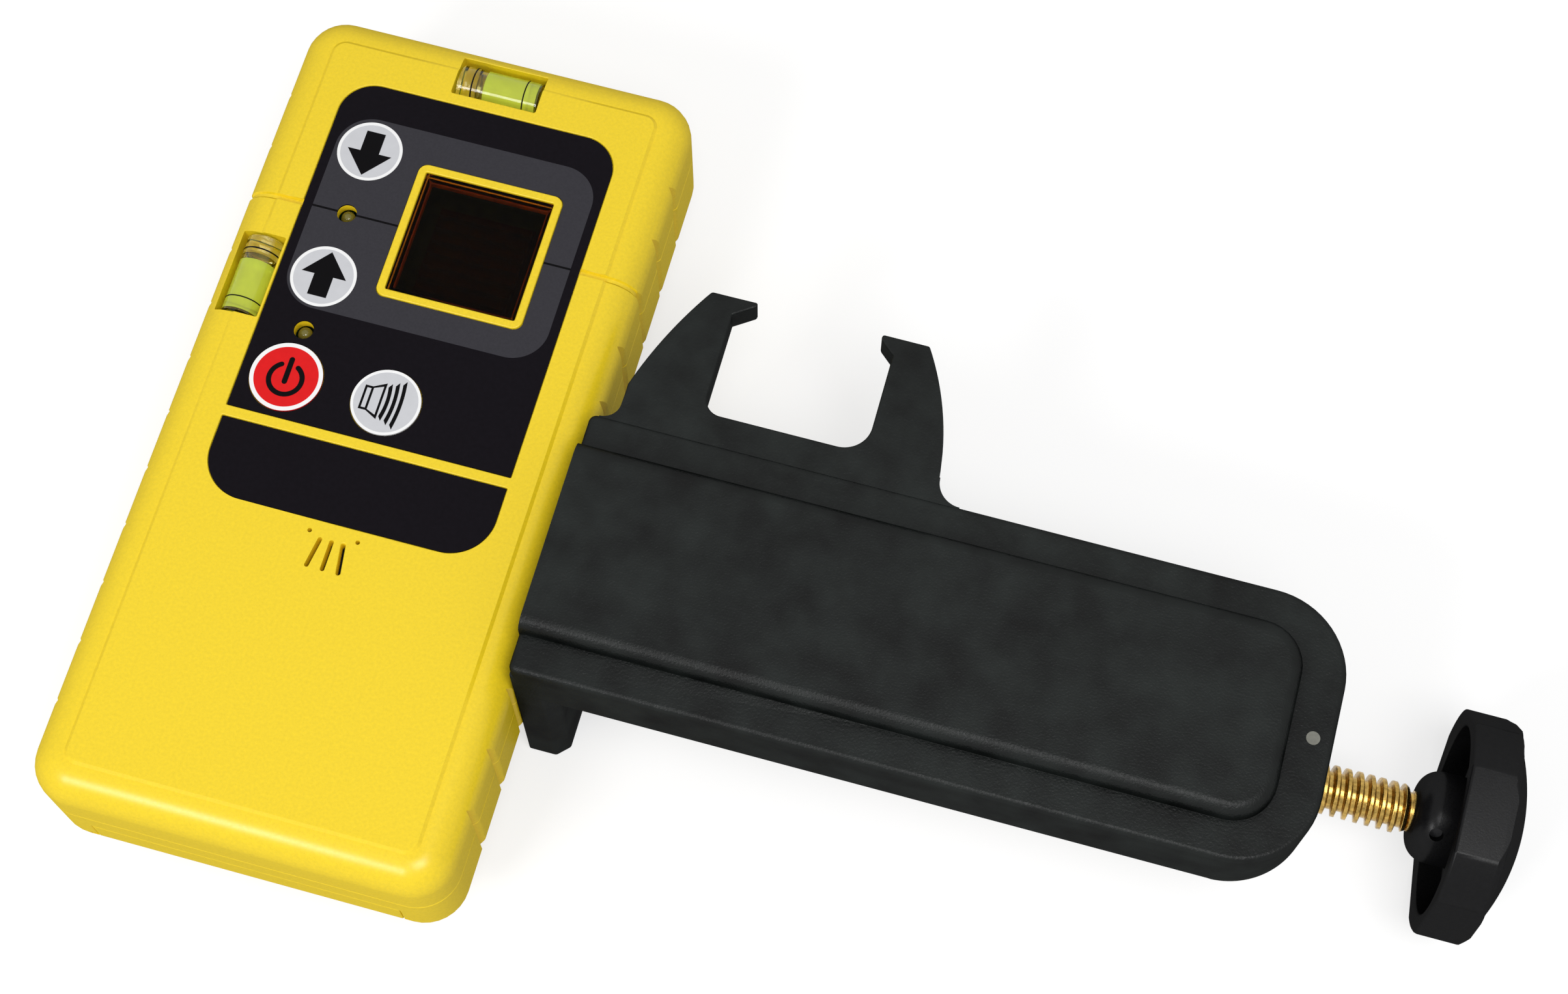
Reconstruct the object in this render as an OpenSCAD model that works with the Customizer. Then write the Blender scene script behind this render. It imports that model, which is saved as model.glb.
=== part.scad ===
// Laser receiver with a rod clamp, lying on its back.
// X runs across the receiver towards the clamp's knob, Y up the receiver and Z out of its front.
// The origin is on the flat back, on the middle line, at the height of the grade line.

/* [Receiver case] */
// Width of the case across its sides
case_w = 83; // [80:0.5:92]
// Height of the case from its lower to its upper end
case_h = 173.4; // [170:0.2:190]
// Depth of the case from its back to its front
case_d = 30; // [29.5:0.5:36]
// Height of the upper end above the grade line
grade_drop = 44.5; // [44:0.1:48]
// Corner radius of the case seen from the front
corner_r = 8.5; // [8:0.5:13]
// Rounding of the front edge
front_edge_r = 6.5; // [4:0.5:6.5]
// Rounding of the back edge
back_edge_r = 3; // [1:0.5:4]
// Height of the seam between the shells above the back
seam_z = 15.6; // [14.5:0.2:16.5]
// Gap between the shells, filled by the gasket
seam_gap = 0.2; // [0.1:0.1:1]
// Wall of both shells
case_wall = 2.4; // [1.8:0.1:2.8]
// Distance between the grooves in the sides
groove_pitch = 12.3; // [10:0.1:16]
// Depth of the grooves in the sides
groove_depth = 1.1; // [0.3:0.1:1.3]

/* [Front face] */
// Border around the raised panel
panel_margin = 6.6; // [6.5:0.1:9]
// Rise of the panel above the border
panel_rise = 0.5; // [0.2:0.1:1]
// Corner radius of the panel
panel_r = 3; // [1:0.5:6]
// Distance of the labels from the case's sides
label_margin = 12.3; // [11.5:0.1:13.5]
// Top edge of the upper label above the grade line
label_top = 29.6; // [28:0.1:31]
// Lower edge of the lower label below the grade line
label_drop = 64.2; // [60:0.1:66]
// Outer corner radius of the upper label
upper_label_r = 7.4; // [4:0.2:10]
// Outer corner radius of the lower label
lower_label_r = 9; // [4:0.2:12]
// Depth of the label recesses
label_recess = 0.6; // [0.4:0.1:1]
// Thickness of the labels
label_t = 0.4; // [0.2:0.05:0.6]
// Middle of the rib between the labels below the grade line
band_drop = 47.1; // [45.5:0.1:50]
// Width of the rib between the labels
band_w = 2.2; // [1:0.1:4]
// Depth of the grade line grooves
grade_depth = 0.35; // [0.2:0.05:0.6]

/* [Window, lamps and buttons] */
// Distance of the window frame from the labels' left edge
window_left = 20.3; // [19:0.1:24]
// Distance of the window frame from the labels' right edge
window_right = 7.7; // [5:0.1:12]
// Middle of the window below the grade line
window_drop = 0.4; // [0:0.1:2]
// Outer height of the window frame
window_h = 30.4; // [24:0.2:32]
// Wall of the window frame
frame_wall = 1.7; // [1:0.1:2.5]
// Rise of the window frame above the panel
frame_rise = 0.2; // [0.1:0.1:1]
// Setback of the filter below the frame's rim
filter_setback = 0.4; // [0.2:0.1:1.5]
// Thickness of the filter
filter_t = 2; // [1:0.1:2.5]
// Distance of the column of lamps and the power button from the labels' left edge
column_inset = 9.4; // [8.5:0.1:10]
// Height of the arrow lenses above and below the grade line
arrow_rise = 14.6; // [13.5:0.1:15.5]
// Diameter of the arrow lenses
arrow_d = 13.3; // [12:0.1:14]
// Diameter of the lamps
led_d = 3; // [2.5:0.1:3.2]
// Diameter of the lamp holes
led_hole_d = 4; // [3.6:0.1:5]
// Distance of the power lamp below the grade line
power_led_drop = 26.7; // [25.5:0.1:28]
// Distance of the buttons below the grade line
button_drop = 37.3; // [36.5:0.1:38]
// Distance of the sound button from the labels' left edge
sound_inset = 30; // [27:0.1:36]
// Diameter of the power button
power_button_d = 14.5; // [12:0.1:15]
// Diameter of the sound button
sound_button_d = 13.9; // [12:0.1:15]
// Travel of the buttons
button_travel = 0.5; // [0.2:0.1:0.7]
// Top of the sound slots below the grade line
slots_drop = 67.9; // [67:0.1:72]
// Length of the sound slots
slot_l = 5.6; // [4:0.1:8]
// Width of the sound slots
slot_w = 0.9; // [0.6:0.1:1.2]

/* [Level vials] */
// Diameter of the vials
vial_d = 7.7; // [7:0.1:8.2]
// Length of the vials
vial_l = 17.6; // [14:0.1:19]
// Middle of the upper vial beside the middle line
top_vial_x = 0.9; // [-4:0.1:4]
// Distance of the upper vial's middle from the upper end
top_vial_inset = 7.9; // [7.7:0.1:8.1]
// Distance of the side vial's middle from the left side
side_vial_inset = 7.2; // [7:0.1:7.4]
// Middle of the side vial below the grade line
side_vial_drop = 17.6; // [14:0.1:20]

/* [Battery] */
// Length of the battery with its terminals
battery_l = 48.5; // [48:0.1:49]
// Width of the battery
battery_w = 26.5; // [26:0.1:27]
// Thickness of the battery
battery_t = 17.5; // [16.5:0.1:17.5]
// Width of the battery door
door_w = 62; // [60:0.5:64]
// Height of the door's lip on the lower end
door_lip = 9.5; // [7:0.5:11]

/* [Clamp arm] */
// Length of the arm
arm_l = 151; // [145:1:190]
// Width of the arm
arm_w = 53.9; // [50:0.5:64]
// Middle of the arm below the grade line
arm_drop = 58.7; // [54:0.1:64]
// Height of the arm's rim above the case's back
rim_z = 38; // [36:0.5:44]
// Height of the arm's skirt
skirt_h = 14.8; // [13:0.2:18]
// Corner radius of the arm's outer end
arm_corner_r = 16; // [10:0.5:20]
// Wall of the skirt
skirt_wall = 3.5; // [2.5:0.1:4.5]
// Thickness of the arm's top
top_t = 4; // [3:0.1:5]
// Width of the raised ridge along the arm
ridge_w = 39; // [36:0.5:44]
// Distance of the ridge's end from the arm's end
ridge_inset = 8.6; // [6:0.2:14]
// Rise of the ridge above the rim
ridge_rise = 4; // [3:0.5:6]
// Corner radius of the ridge
ridge_r = 8.5; // [6:0.5:12]
// Thickness of the fixed jaw
jaw_plate_t = 8.2; // [7:0.2:12]
// Reach of the fixed jaw below the case's back
jaw_plate_drop = 14.6; // [10:0.2:24]
// Diameter of the silver pin in the rim
nut_pin_d = 2.6; // [2:0.1:3]
// Distance of the silver pin from the arm's end
nut_pin_inset = 4; // [3.5:0.1:6]

/* [Hanging prongs] */
// Reach of the prongs above the arm
prong_rise = 31.2; // [28:0.2:40]
// Thickness of the prongs
prong_t = 6; // [4:0.2:8]
// Start of the gap between the prongs beside the case
gap_x = 20.6; // [18:0.2:24]
// Width of the gap between the prongs
gap_w = 32.4; // [28:0.2:36]
// Height of the gap's floor above the arm
gap_floor = 6.1; // [5:0.1:9]
// Reach of the left hook into the gap
left_hook = 4.2; // [2:0.1:5]
// Reach of the right hook into the gap
right_hook = 3; // [2:0.1:5]

/* [Clamp screw and jaw] */
// Height of the screw's axis above the case's back
screw_z = 10; // [8:0.1:12]
// Outer diameter of the clamp screw
screw_d = 9.9; // [8:0.1:11]
// Diameter of the screw's journal in the jaw
journal_d = 7; // [6:0.1:7.5]
// Opening between the fixed jaw and the sliding jaw
rod_gap = 38; // [30:0.5:60]
// Thickness of the sliding jaw
jaw_t = 14; // [12:0.5:18]
// Width of the sliding jaw
jaw_w = 25; // [22:0.5:26]
// Reach of the sliding jaw below the case's back
jaw_drop = 13; // [8:0.5:16]
// Gap between the arm's end and the knob's hub
hub_gap = 20.6; // [19:0.2:40]

/* [Knob] */
// Outer diameter of the knob
knob_d = 45; // [40:0.5:52]
// Distance of the knob's five flats from its axis
knob_flat = 21; // [18.5:0.1:22]
// Length of the knob's rim
knob_rim_l = 8.5; // [7:0.1:12]
// Height of the knob's domed face above its rim
knob_dome = 6.4; // [4:0.1:8]
// Wall of the knob's rim
knob_wall = 2.4; // [1.8:0.1:3]
// Diameter of the knob's hub
hub_d = 18; // [16:0.2:20]
// Reach of the hub out of the knob's rim
hub_l = 5.8; // [5:0.1:8]
// Turn of the knob's first flat from the Y axis
knob_turn = 99; // [0:1:360]

/* [Hidden] */

// Shared small sizes
overrun = 2;
bite = 0.5;
fit_gap = 0.15;
slide_gap = 0.3;
run_gap = 0.05;
touch_gap = 0.02;
arc_steps = 8;
hull_fn = 32;
$fn = 64;

// Levels and sides of the case
side_x = case_w / 2;
case_top = grade_drop;
case_low = grade_drop - case_h;
front_seam = seam_z + seam_gap / 2;
rear_seam = seam_z - seam_gap / 2;
border_z = case_d - panel_rise;
front_in = border_z - case_wall;
label_w = case_w - 2 * label_margin;
label_left = -label_w / 2;
label_floor = case_d - label_recess;
label_z = label_floor + label_t;

// Places on the labels
column_x = label_left + column_inset;
sound_x = label_left + sound_inset;
window_w = label_w - window_left - window_right;
window_x = label_left + window_left + window_w / 2;

// Posts, board and its bosses
post_r = 3.4;
post_inset = 8.4;
low_post_rise = 37;
case_screw_d = 2.6;
case_screw_head_d = 5.4;
case_screw_head_t = 2;
case_screw_sink = 3;
post_depth = 8;
board_t = 1.6;
board_standoff = 8.5;
board_top = front_in - board_standoff;
board_z = board_top - board_t;
board_margin = 12.6;
board_edge = 14.4;
board_low_rise = 33.5;
boss_r = 2.2;
boss_inset = 4;

// Lamps, lenses, buttons and switches
lens_t = 1.6;
lens_seat = 1.4;
led_dome_setback = 1;
led_flange = 0.5;
led_body_l = 4;
button_rise = 0.1;
button_t = 0.8;
button_stem_r = 2;
button_gap = 0.2;
switch_w = 6;
switch_h = 3.5;
switch_stem_r = 1.7;
switch_stem_h = 0.6;
frame_corner_r = 2;
filter_ledge = 1.3;
ledge_t = 1.6;
diode_margin = 4;
diode_h = 5;
diode_rows = 7;
buzzer_d = 14;
buzzer_h = 5.4;
slot_fan = 8.5;
slot_step = 2.35;
dot_r = 0.45;
dot_x = 4.85;
dot_rise = 1.3;

// Vial pockets
pocket_gap = 0.25;
pocket_side = 0.7;
pod_wall = 1.4;
vial_sink = 0.3;
vial_wall = 1;
vial_cap_l = 4.2;
vial_end_l = 1.2;
vial_z = case_d - vial_sink - vial_d / 2;
pocket_floor = vial_z - vial_d / 2 - fit_gap;
top_vial_y = case_top - top_vial_inset;
side_vial_x = -side_x + side_vial_inset;
bubble_l = 2.6;

// Battery bay and door
tongue = 1.4;
tongue_t = 1;
tongue_z = case_wall + fit_gap;
bay_gap = 0.4;
bay_wall = 1.6;
terminal_l = 2.1;
terminal_d = 7;
terminal_space = 12.7;
contact_t = 1.6;
contact_rim = 1.2;
cup_l = 3;
bay_low = case_low + case_wall + bay_gap;
bay_top = bay_low + battery_w + 2 * bay_gap;
door_top = bay_top - fit_gap;
battery_z = tongue_z + tongue_t + fit_gap;
battery_body_l = battery_l - terminal_l;
battery_x = -battery_l / 2;
contact_x = battery_x + battery_l + cup_l - terminal_l;
bay_left = battery_x - bay_gap;
bay_right = contact_x + contact_t;
battery_edge_r = 2;

// Arm and fixed jaw
arm_x = side_x;
arm_end = arm_x + arm_l;
ridge_end = arm_end - ridge_inset;
arm_y = -arm_drop;
arm_top_y = arm_y + arm_w / 2;
arm_edge_r = 1.2;
arm_left_r = 1.5;
ridge_edge_r = 2.8;
skirt_z = rim_z - skirt_h;
plate_in = rim_z - top_t;
ridge_in = plate_in + ridge_rise;
jaw_plate_chamfer = 2.4;
fixed_face = arm_x + jaw_plate_t;
rib_t = 2.4;
rib_gap = 0.3;
rib_z = skirt_z + 1.2;
lug_l = 12.5;
lug_r = 10.8;
lug_x = arm_end - lug_l;
nut_r = 7;
nut_seat = 1.5;
pin_depth = 2;

// Screws between the arm and the case
mount_span = 28;
mount_z = 8.4;
insert_r = 3;
insert_l = 8;
insert_wall = 1.7;
mount_screw_d = 3.9;
mount_head_d = 7.6;
mount_head_t = 3;
mount_sink = 3.6;

// Prong outline beside the case and above the arm
prong_step = 0.4;
left_root = 5.1;
left_bow = 9.2;
left_tip = 15.4;
left_root_share = 0.256;
left_bow_share = 0.622;
right_tip = 59.4;
right_bow = 65.45;
right_root = 68.2;
right_root_share = 0.08;
right_bow_share = 0.574;
gap_left_r = 3.5;
gap_right_r = 5.6;
left_fillet = 3.4;
root_fillet = 5;
left_hook_h = 3.9;
left_hook_nose = 1;
right_hook_h = 3.9;
right_hook_nose = 1.2;

// Sliding jaw, screw and knob
jaw_x = fixed_face + rod_gap;
jaw_back = jaw_x + jaw_t;
jaw_low = -jaw_drop;
jaw_toe_share = 0.62;
jaw_knee_z = 1;
jaw_head_z = ridge_in - slide_gap;
jaw_notch = 2;
clip_pocket_r = 6.4;
clip_pocket_l = 4;
clip_r = 5.8;
clip_t = 1;
clip_back = 0.2;
clip_groove = 0.9;
clip_mouth_share = 0.8;
tip_setback = 1.2;
shoulder_x = jaw_back + run_gap;
hub_x = arm_end + hub_gap;
knob_x = hub_x + hub_l;
knob_r = knob_d / 2;
knob_edge = 1.2;
knob_floor_t = 2.6;
hub_round = 4.4;
shank_d = 8;
shank_stop = 2;
grub_d = 2.6;
grub_l = 3;
grub_x = 4.3;
grub_turn = 128;
dome_x = knob_rim_l + knob_edge;
dome_base_r = knob_flat - knob_edge;
dome_h = knob_dome - knob_edge;
dome_r = (dome_base_r * dome_base_r + dome_h * dome_h) / (2 * dome_h);

// Points of an arc from one angle to another
function arc(x, y, r, from, to) = [for (i = [0:arc_steps])
    let (a = from + (to - from) * i / arc_steps) [x + r * cos(a), y + r * sin(a)]];

// Points of the arc through three points
function bow(a, m, b) = let (p = m - a, q = b - a, d = 2 * cross(p, q),
    x = a[0] + (q[1] * (p * p) - p[1] * (q * q)) / d,
    y = a[1] + (p[0] * (q * q) - q[0] * (p * p)) / d)
    arc(x, y, norm(a - [x, y]), atan2(a[1] - y, a[0] - x), atan2(b[1] - y, b[0] - x));

// Cylinder along X from x0 over a length
module rod_x(r, x0, l, y, z) translate([x0, y, z]) rotate([0, 90, 0]) cylinder(r = r, h = l);

// Rectangle between two corners with round corners
module round_rect(x0, y0, x1, y1, r) {
    translate([x0 + r, y0]) square([x1 - x0 - 2 * r, y1 - y0]);
    translate([x0, y0 + r]) square([x1 - x0, y1 - y0 - 2 * r]);
    for (x = [x0 + r, x1 - r], y = [y0 + r, y1 - r]) translate([x, y]) circle(r = r);
}

// Box between two corners
module span_box(a, b) translate(a) cube(b - a);

// Round post with rounded lower and upper edges, the corner of a hulled form
module corner_post(r, low, high, low_r, high_r) rotate_extrude($fn = hull_fn) polygon(concat(
    [[0, low]], low_r > 0 ? arc(r - low_r, low + low_r, low_r, -90, 0) : [[r, low]],
    high_r > 0 ? arc(r - high_r, high - high_r, high_r, 0, 90) : [[r, high]], [[0, high]]));

// Outer form of the case, set in from all sides by inset
module case_form(inset, low, high, low_r, high_r) hull()
    for (x = [-1, 1] * (side_x - corner_r), y = [case_low + corner_r, case_top - corner_r])
        translate([x, y, 0]) corner_post(corner_r - inset, low, high, low_r, high_r);

// Outline of the case, set in from its sides
module case_outline(inset)
    round_rect(-side_x + inset, case_low + inset, side_x - inset, case_top - inset, corner_r - inset);

// V grooves down both sides, spaced from the grade line
module side_grooves() {
    first = ceil((case_low + corner_r) / groove_pitch);
    last = floor((case_top - corner_r) / groove_pitch);
    for (k = [first:last], x = [-side_x, side_x])
        translate([x, k * groove_pitch, -overrun])
            cylinder(r = groove_depth, h = case_d + 2 * overrun, $fn = 4);
}

// Grade line cut into the border and sides, beside the label
module grade_line() difference() {
    for (x = [-side_x - overrun, label_w / 2])
        span_box([x, -grade_depth, front_seam - overrun],
            [x + side_x + overrun - label_w / 2, grade_depth, case_d + overrun]);
    case_form(grade_depth, front_seam - 2 * overrun, border_z - grade_depth, 0, front_edge_r - grade_depth);
}

// Outline over both labels and the rib between them, with a given corner radius
module label_outline(inset, r) round_rect(-label_w / 2 + inset, -label_drop + inset, label_w / 2 - inset,
    label_top - inset, r - inset);

module upper_outline(inset) intersection() {
    label_outline(inset, upper_label_r);
    translate([-label_w, -band_drop + band_w / 2 + inset]) square([2 * label_w, case_h]);
}

module lower_outline(inset) intersection() {
    label_outline(inset, lower_label_r);
    translate([-label_w, -band_drop - band_w / 2 - inset - case_h]) square([2 * label_w, case_h]);
}

// Outline of the window frame, grown by a distance
module window_outline(grow) translate([window_x, -window_drop])
    round_rect(-window_w / 2 - grow, -window_h / 2 - grow, window_w / 2 + grow, window_h / 2 + grow,
        frame_corner_r + grow);

// Rectangle inside the window frame, set in by a distance
module window_rect(inset) translate([window_x, -window_drop])
    square([window_w - 2 * inset, window_h - 2 * inset], center = true);

// Places of the four case screws
module at_posts() for (x = [-1, 1] * (side_x - post_inset),
    y = [case_top - post_inset, case_low + low_post_rise]) translate([x, y, 0]) children();

// Places of the four board bosses
module at_board_bosses() for (x = [-1, 1] * (side_x - board_margin - boss_inset),
    y = [case_top - board_edge - boss_inset, case_low + board_low_rise + boss_inset])
    translate([x, y, 0]) children();

// Blocks that close the vial pockets from inside
module vial_pods() intersection() {
    case_form(case_wall / 2, front_seam, border_z - case_wall / 2, 0, front_edge_r - case_wall / 2);
    union() {
        span_box([top_vial_x - vial_l / 2 - pocket_gap - pod_wall,
            top_vial_y - vial_d / 2 - pocket_side - pod_wall, pocket_floor - pod_wall],
            [top_vial_x + vial_l / 2 + pocket_gap + pod_wall, case_top, border_z]);
        span_box([-side_x, -side_vial_drop - vial_l / 2 - pocket_gap - pod_wall, pocket_floor - pod_wall],
            [side_vial_x + vial_d / 2 + pocket_side + pod_wall,
            -side_vial_drop + vial_l / 2 + pocket_gap + pod_wall, border_z]);
    }
}

module vial_pockets() {
    translate([top_vial_x - vial_l / 2 - pocket_gap, top_vial_y - vial_d / 2 - pocket_side, pocket_floor])
        cube([vial_l + 2 * pocket_gap, vial_d + 2 * pocket_side, case_d]);
    translate([side_vial_x - vial_d / 2 - pocket_side, -side_vial_drop - vial_l / 2 - pocket_gap,
        pocket_floor])
        cube([vial_d + 2 * pocket_side, vial_l + 2 * pocket_gap, case_d]);
}

// Three fanned slots and two dots over the buzzer
module sound_slots() translate([0, -slots_drop, front_in - overrun]) linear_extrude(case_d) {
    for (i = [-1:1]) translate([i * slot_step, 0]) rotate(i * slot_fan) {
        translate([-slot_w / 2, -slot_l]) square([slot_w, slot_l]);
        for (y = [0, -slot_l]) translate([0, y]) circle(r = slot_w / 2);
    }
    for (x = [-dot_x, dot_x]) translate([x, dot_rise]) circle(r = dot_r);
}

// Pockets for a disc in the front and the hole through the wall below it
module front_pocket(x, y, r, floor_z, hole_r) translate([x, y, 0]) {
    translate([0, 0, floor_z]) cylinder(r = r, h = case_d);
    translate([0, 0, board_top]) cylinder(r = hole_r, h = case_d);
}

lens_floor = label_z - lens_t;
button_low = label_z + button_rise - button_t;
button_floor = button_low - button_travel - fit_gap;
frame_top = case_d + frame_rise;
filter_top = frame_top - filter_setback;
filter_low = filter_top - filter_t;

module front_shell() color("gold") difference() {
    union() {
        difference() {
            case_form(0, front_seam, border_z, 0, front_edge_r);
            case_form(case_wall, front_seam - overrun, front_in, 0, front_edge_r - case_wall);
        }
        translate([0, 0, front_in]) linear_extrude(case_d - front_in)
            round_rect(-side_x + panel_margin, case_low + panel_margin, side_x - panel_margin,
                case_top - panel_margin, panel_r);
        vial_pods();
        translate([0, 0, filter_low - ledge_t]) linear_extrude(frame_top - filter_low + ledge_t)
            window_outline(0);
        at_posts() translate([0, 0, front_seam]) cylinder(r = post_r, h = front_in + bite - front_seam);
        at_board_bosses() translate([0, 0, board_top]) cylinder(r = boss_r, h = front_in + bite - board_top);
    }
    translate([0, 0, label_floor]) linear_extrude(case_d) difference() {
        union() {
            upper_outline(0);
            lower_outline(0);
        }
        window_outline(0);
    }
    translate([0, 0, filter_low]) linear_extrude(case_d) window_rect(frame_wall);
    translate([0, 0, board_top]) linear_extrude(case_d) window_rect(frame_wall + filter_ledge);
    for (y = [0, -power_led_drop])
        translate([column_x, y, board_top]) cylinder(d = led_hole_d, h = case_d);
    for (y = [-arrow_rise, arrow_rise])
        front_pocket(column_x, y, arrow_d / 2 + fit_gap, lens_floor, arrow_d / 2 - lens_seat);
    for (button = [[column_x, power_button_d], [sound_x, sound_button_d]])
        front_pocket(button[0], -button_drop, button[1] / 2 + button_gap, button_floor,
            button_stem_r + button_gap);
    at_posts() translate([0, 0, front_seam - overrun])
        cylinder(d = case_screw_d + 2 * run_gap, h = post_depth + overrun);
    sound_slots();
    vial_pockets();
    grade_line();
    side_grooves();
}

module rear_shell() color("gold") difference() {
    union() {
        difference() {
            case_form(0, 0, rear_seam, back_edge_r, 0);
            case_form(case_wall, case_wall, case_d, max(0, back_edge_r - case_wall), 0);
        }
        at_posts() translate([0, 0, back_edge_r / 2]) cylinder(r = post_r, h = rear_seam - back_edge_r / 2);
        span_box([-side_x + case_wall - bite, bay_top, case_wall - bite],
            [side_x - case_wall + bite, bay_top + bay_wall, rear_seam - tongue_t]);
        for (x = [bay_left - bay_wall, bay_right])
            span_box([x, case_low + case_wall - bite, battery_z],
                [x + bay_wall, bay_top + bite, rear_seam - tongue_t]);
        for (i = [-1, 1] * mount_span / 2)
            rod_x(insert_r + insert_wall, side_x - insert_l - 2 * insert_wall,
                insert_l + 2 * insert_wall - case_wall / 2, arm_y + i, mount_z);
    }
    // Opening for the door, with slots for its tongues in the lower end
    span_box([-door_w / 2 - fit_gap, case_low - overrun, -overrun],
        [door_w / 2 + fit_gap, bay_top, case_wall + overrun]);
    span_box([-door_w / 2 - fit_gap, case_low - overrun, -overrun],
        [door_w / 2 + fit_gap, bay_low, door_lip + fit_gap]);
    span_box([-door_w / 2 - tongue - fit_gap, case_low - overrun, case_wall],
        [door_w / 2 + tongue + fit_gap, bay_top, battery_z]);
    at_posts() {
        translate([0, 0, -overrun]) cylinder(d = case_screw_d + 2 * fit_gap, h = case_d);
        translate([0, 0, -overrun])
            cylinder(d = case_screw_head_d + 2 * fit_gap, h = case_screw_sink + overrun);
    }
    for (i = [-1, 1] * mount_span / 2)
        rod_x(insert_r + touch_gap, side_x - insert_l - fit_gap, insert_l + overrun, arm_y + i, mount_z);
    side_grooves();
}

module battery_door() color("goldenrod") union() {
    intersection() {
        case_form(0, 0, rear_seam, back_edge_r, 0);
        union() {
            span_box([-door_w / 2, case_low, 0], [door_w / 2, door_top, case_wall]);
            span_box([-door_w / 2, case_low, 0], [door_w / 2, case_low + case_wall, door_lip]);
        }
    }
    span_box([-door_w / 2 - tongue, bay_low, tongue_z],
        [door_w / 2 + tongue, door_top, tongue_z + tongue_t]);
    span_box([-door_w / 2, case_low + case_wall / 2, case_wall / 2], [door_w / 2, door_top, tongue_z + bite]);
}

module case_gasket() color("dimgray") translate([0, 0, rear_seam]) linear_extrude(seam_gap) difference() {
    case_outline(case_wall / 4);
    case_outline(case_wall);
}

module case_screws() color("silver") at_posts() {
    translate([0, 0, case_screw_sink - case_screw_head_t])
        cylinder(d = case_screw_head_d, h = case_screw_head_t);
    translate([0, 0, case_screw_sink])
        cylinder(d = case_screw_d, h = front_seam + post_depth - fit_gap - case_screw_sink);
}

module upper_label() color("black") translate([0, 0, label_floor]) linear_extrude(label_t) difference() {
    upper_outline(fit_gap);
    window_outline(fit_gap);
    for (y = [0, -power_led_drop]) translate([column_x, y]) circle(d = led_hole_d);
    for (y = [-arrow_rise, arrow_rise]) translate([column_x, y]) circle(r = arrow_d / 2 + fit_gap);
    for (button = [[column_x, power_button_d], [sound_x, sound_button_d]])
        translate([button[0], -button_drop]) circle(r = button[1] / 2 + button_gap);
}

module lower_label() color("black") translate([0, 0, label_floor]) linear_extrude(label_t)
    lower_outline(fit_gap);

module window_filter() color([0.2, 0.06, 0.01]) translate([0, 0, filter_low]) linear_extrude(filter_t)
    window_rect(frame_wall + fit_gap);

module arrow_lens(y) translate([column_x, y, lens_floor]) cylinder(d = arrow_d, h = lens_t);

module down_arrow_lens() color("gainsboro") arrow_lens(arrow_rise);

module up_arrow_lens() color("gainsboro") arrow_lens(-arrow_rise);

// Lamp on a spacer that stands on the board, with its dome at a given level
module lamp(x, y, top) translate([x, y, board_top]) {
    cylinder(r = led_d / 2 + led_flange, h = top - led_d / 2 - led_body_l - board_top);
    cylinder(d = led_d, h = top - led_d / 2 - board_top);
    translate([0, 0, top - led_d / 2 - board_top]) intersection() {
        sphere(d = led_d);
        translate([-led_d, -led_d, -bite]) cube([2 * led_d, 2 * led_d, led_d]);
    }
}

module grade_led() color("darkgoldenrod") lamp(column_x, 0, label_z - led_dome_setback);

module power_led() color("darkgoldenrod") lamp(column_x, -power_led_drop, label_z - led_dome_setback);

module arrow_leds() color("orangered") for (y = [-arrow_rise, arrow_rise])
    lamp(column_x, y, lens_floor - led_dome_setback);

// Button cap with the stem that works its switch
module push_button(x, cap_d) translate([x, -button_drop, 0]) {
    translate([0, 0, button_low]) cylinder(d = cap_d, h = button_t);
    translate([0, 0, board_top + switch_h + switch_stem_h + button_travel + fit_gap])
        cylinder(r = button_stem_r, h = button_low + button_t / 2
            - (board_top + switch_h + switch_stem_h + button_travel + fit_gap));
}

module power_button() color("red") push_button(column_x, power_button_d);

module sound_button() color("gainsboro") push_button(sound_x, sound_button_d);

module tact_switches() color("darkslategray") for (x = [column_x, sound_x])
    translate([x, -button_drop, board_top]) {
        translate([-switch_w / 2, -switch_w / 2, 0]) cube([switch_w, switch_w, switch_h]);
        cylinder(r = switch_stem_r, h = switch_h + switch_stem_h);
    }

// Vial along X about its middle: a clear tube with a plugged end, and the liquid with its bubble
module vial_tube() difference() {
    rod_x(vial_d / 2, -vial_l / 2, vial_l, 0, 0);
    rod_x(vial_d / 2 - vial_wall, -vial_l / 2 + vial_cap_l, vial_l - vial_cap_l - vial_end_l, 0, 0);
}

module vial_liquid() difference() {
    rod_x(vial_d / 2 - vial_wall - touch_gap, -vial_l / 2 + vial_cap_l,
        vial_l - vial_cap_l - vial_end_l, 0, 0);
    translate([-vial_l / 2 + vial_cap_l, 0, vial_d / 2 - vial_wall])
        sphere(r = bubble_l);
}

module at_top_vial() translate([top_vial_x, top_vial_y, vial_z]) children();

module at_side_vial() translate([side_vial_x, -side_vial_drop, vial_z]) rotate(-90) children();

module top_vial() color([0.9, 0.95, 0.8]) at_top_vial() vial_tube();

module top_vial_liquid() color("greenyellow") at_top_vial() vial_liquid();

module side_vial() color([0.9, 0.95, 0.8]) at_side_vial() vial_tube();

module side_vial_liquid() color("greenyellow") at_side_vial() vial_liquid();

module circuit_board() color("seagreen")
    span_box([-side_x + board_margin, case_low + board_low_rise, board_z],
        [side_x - board_margin, case_top - board_edge, board_top]);

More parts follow.
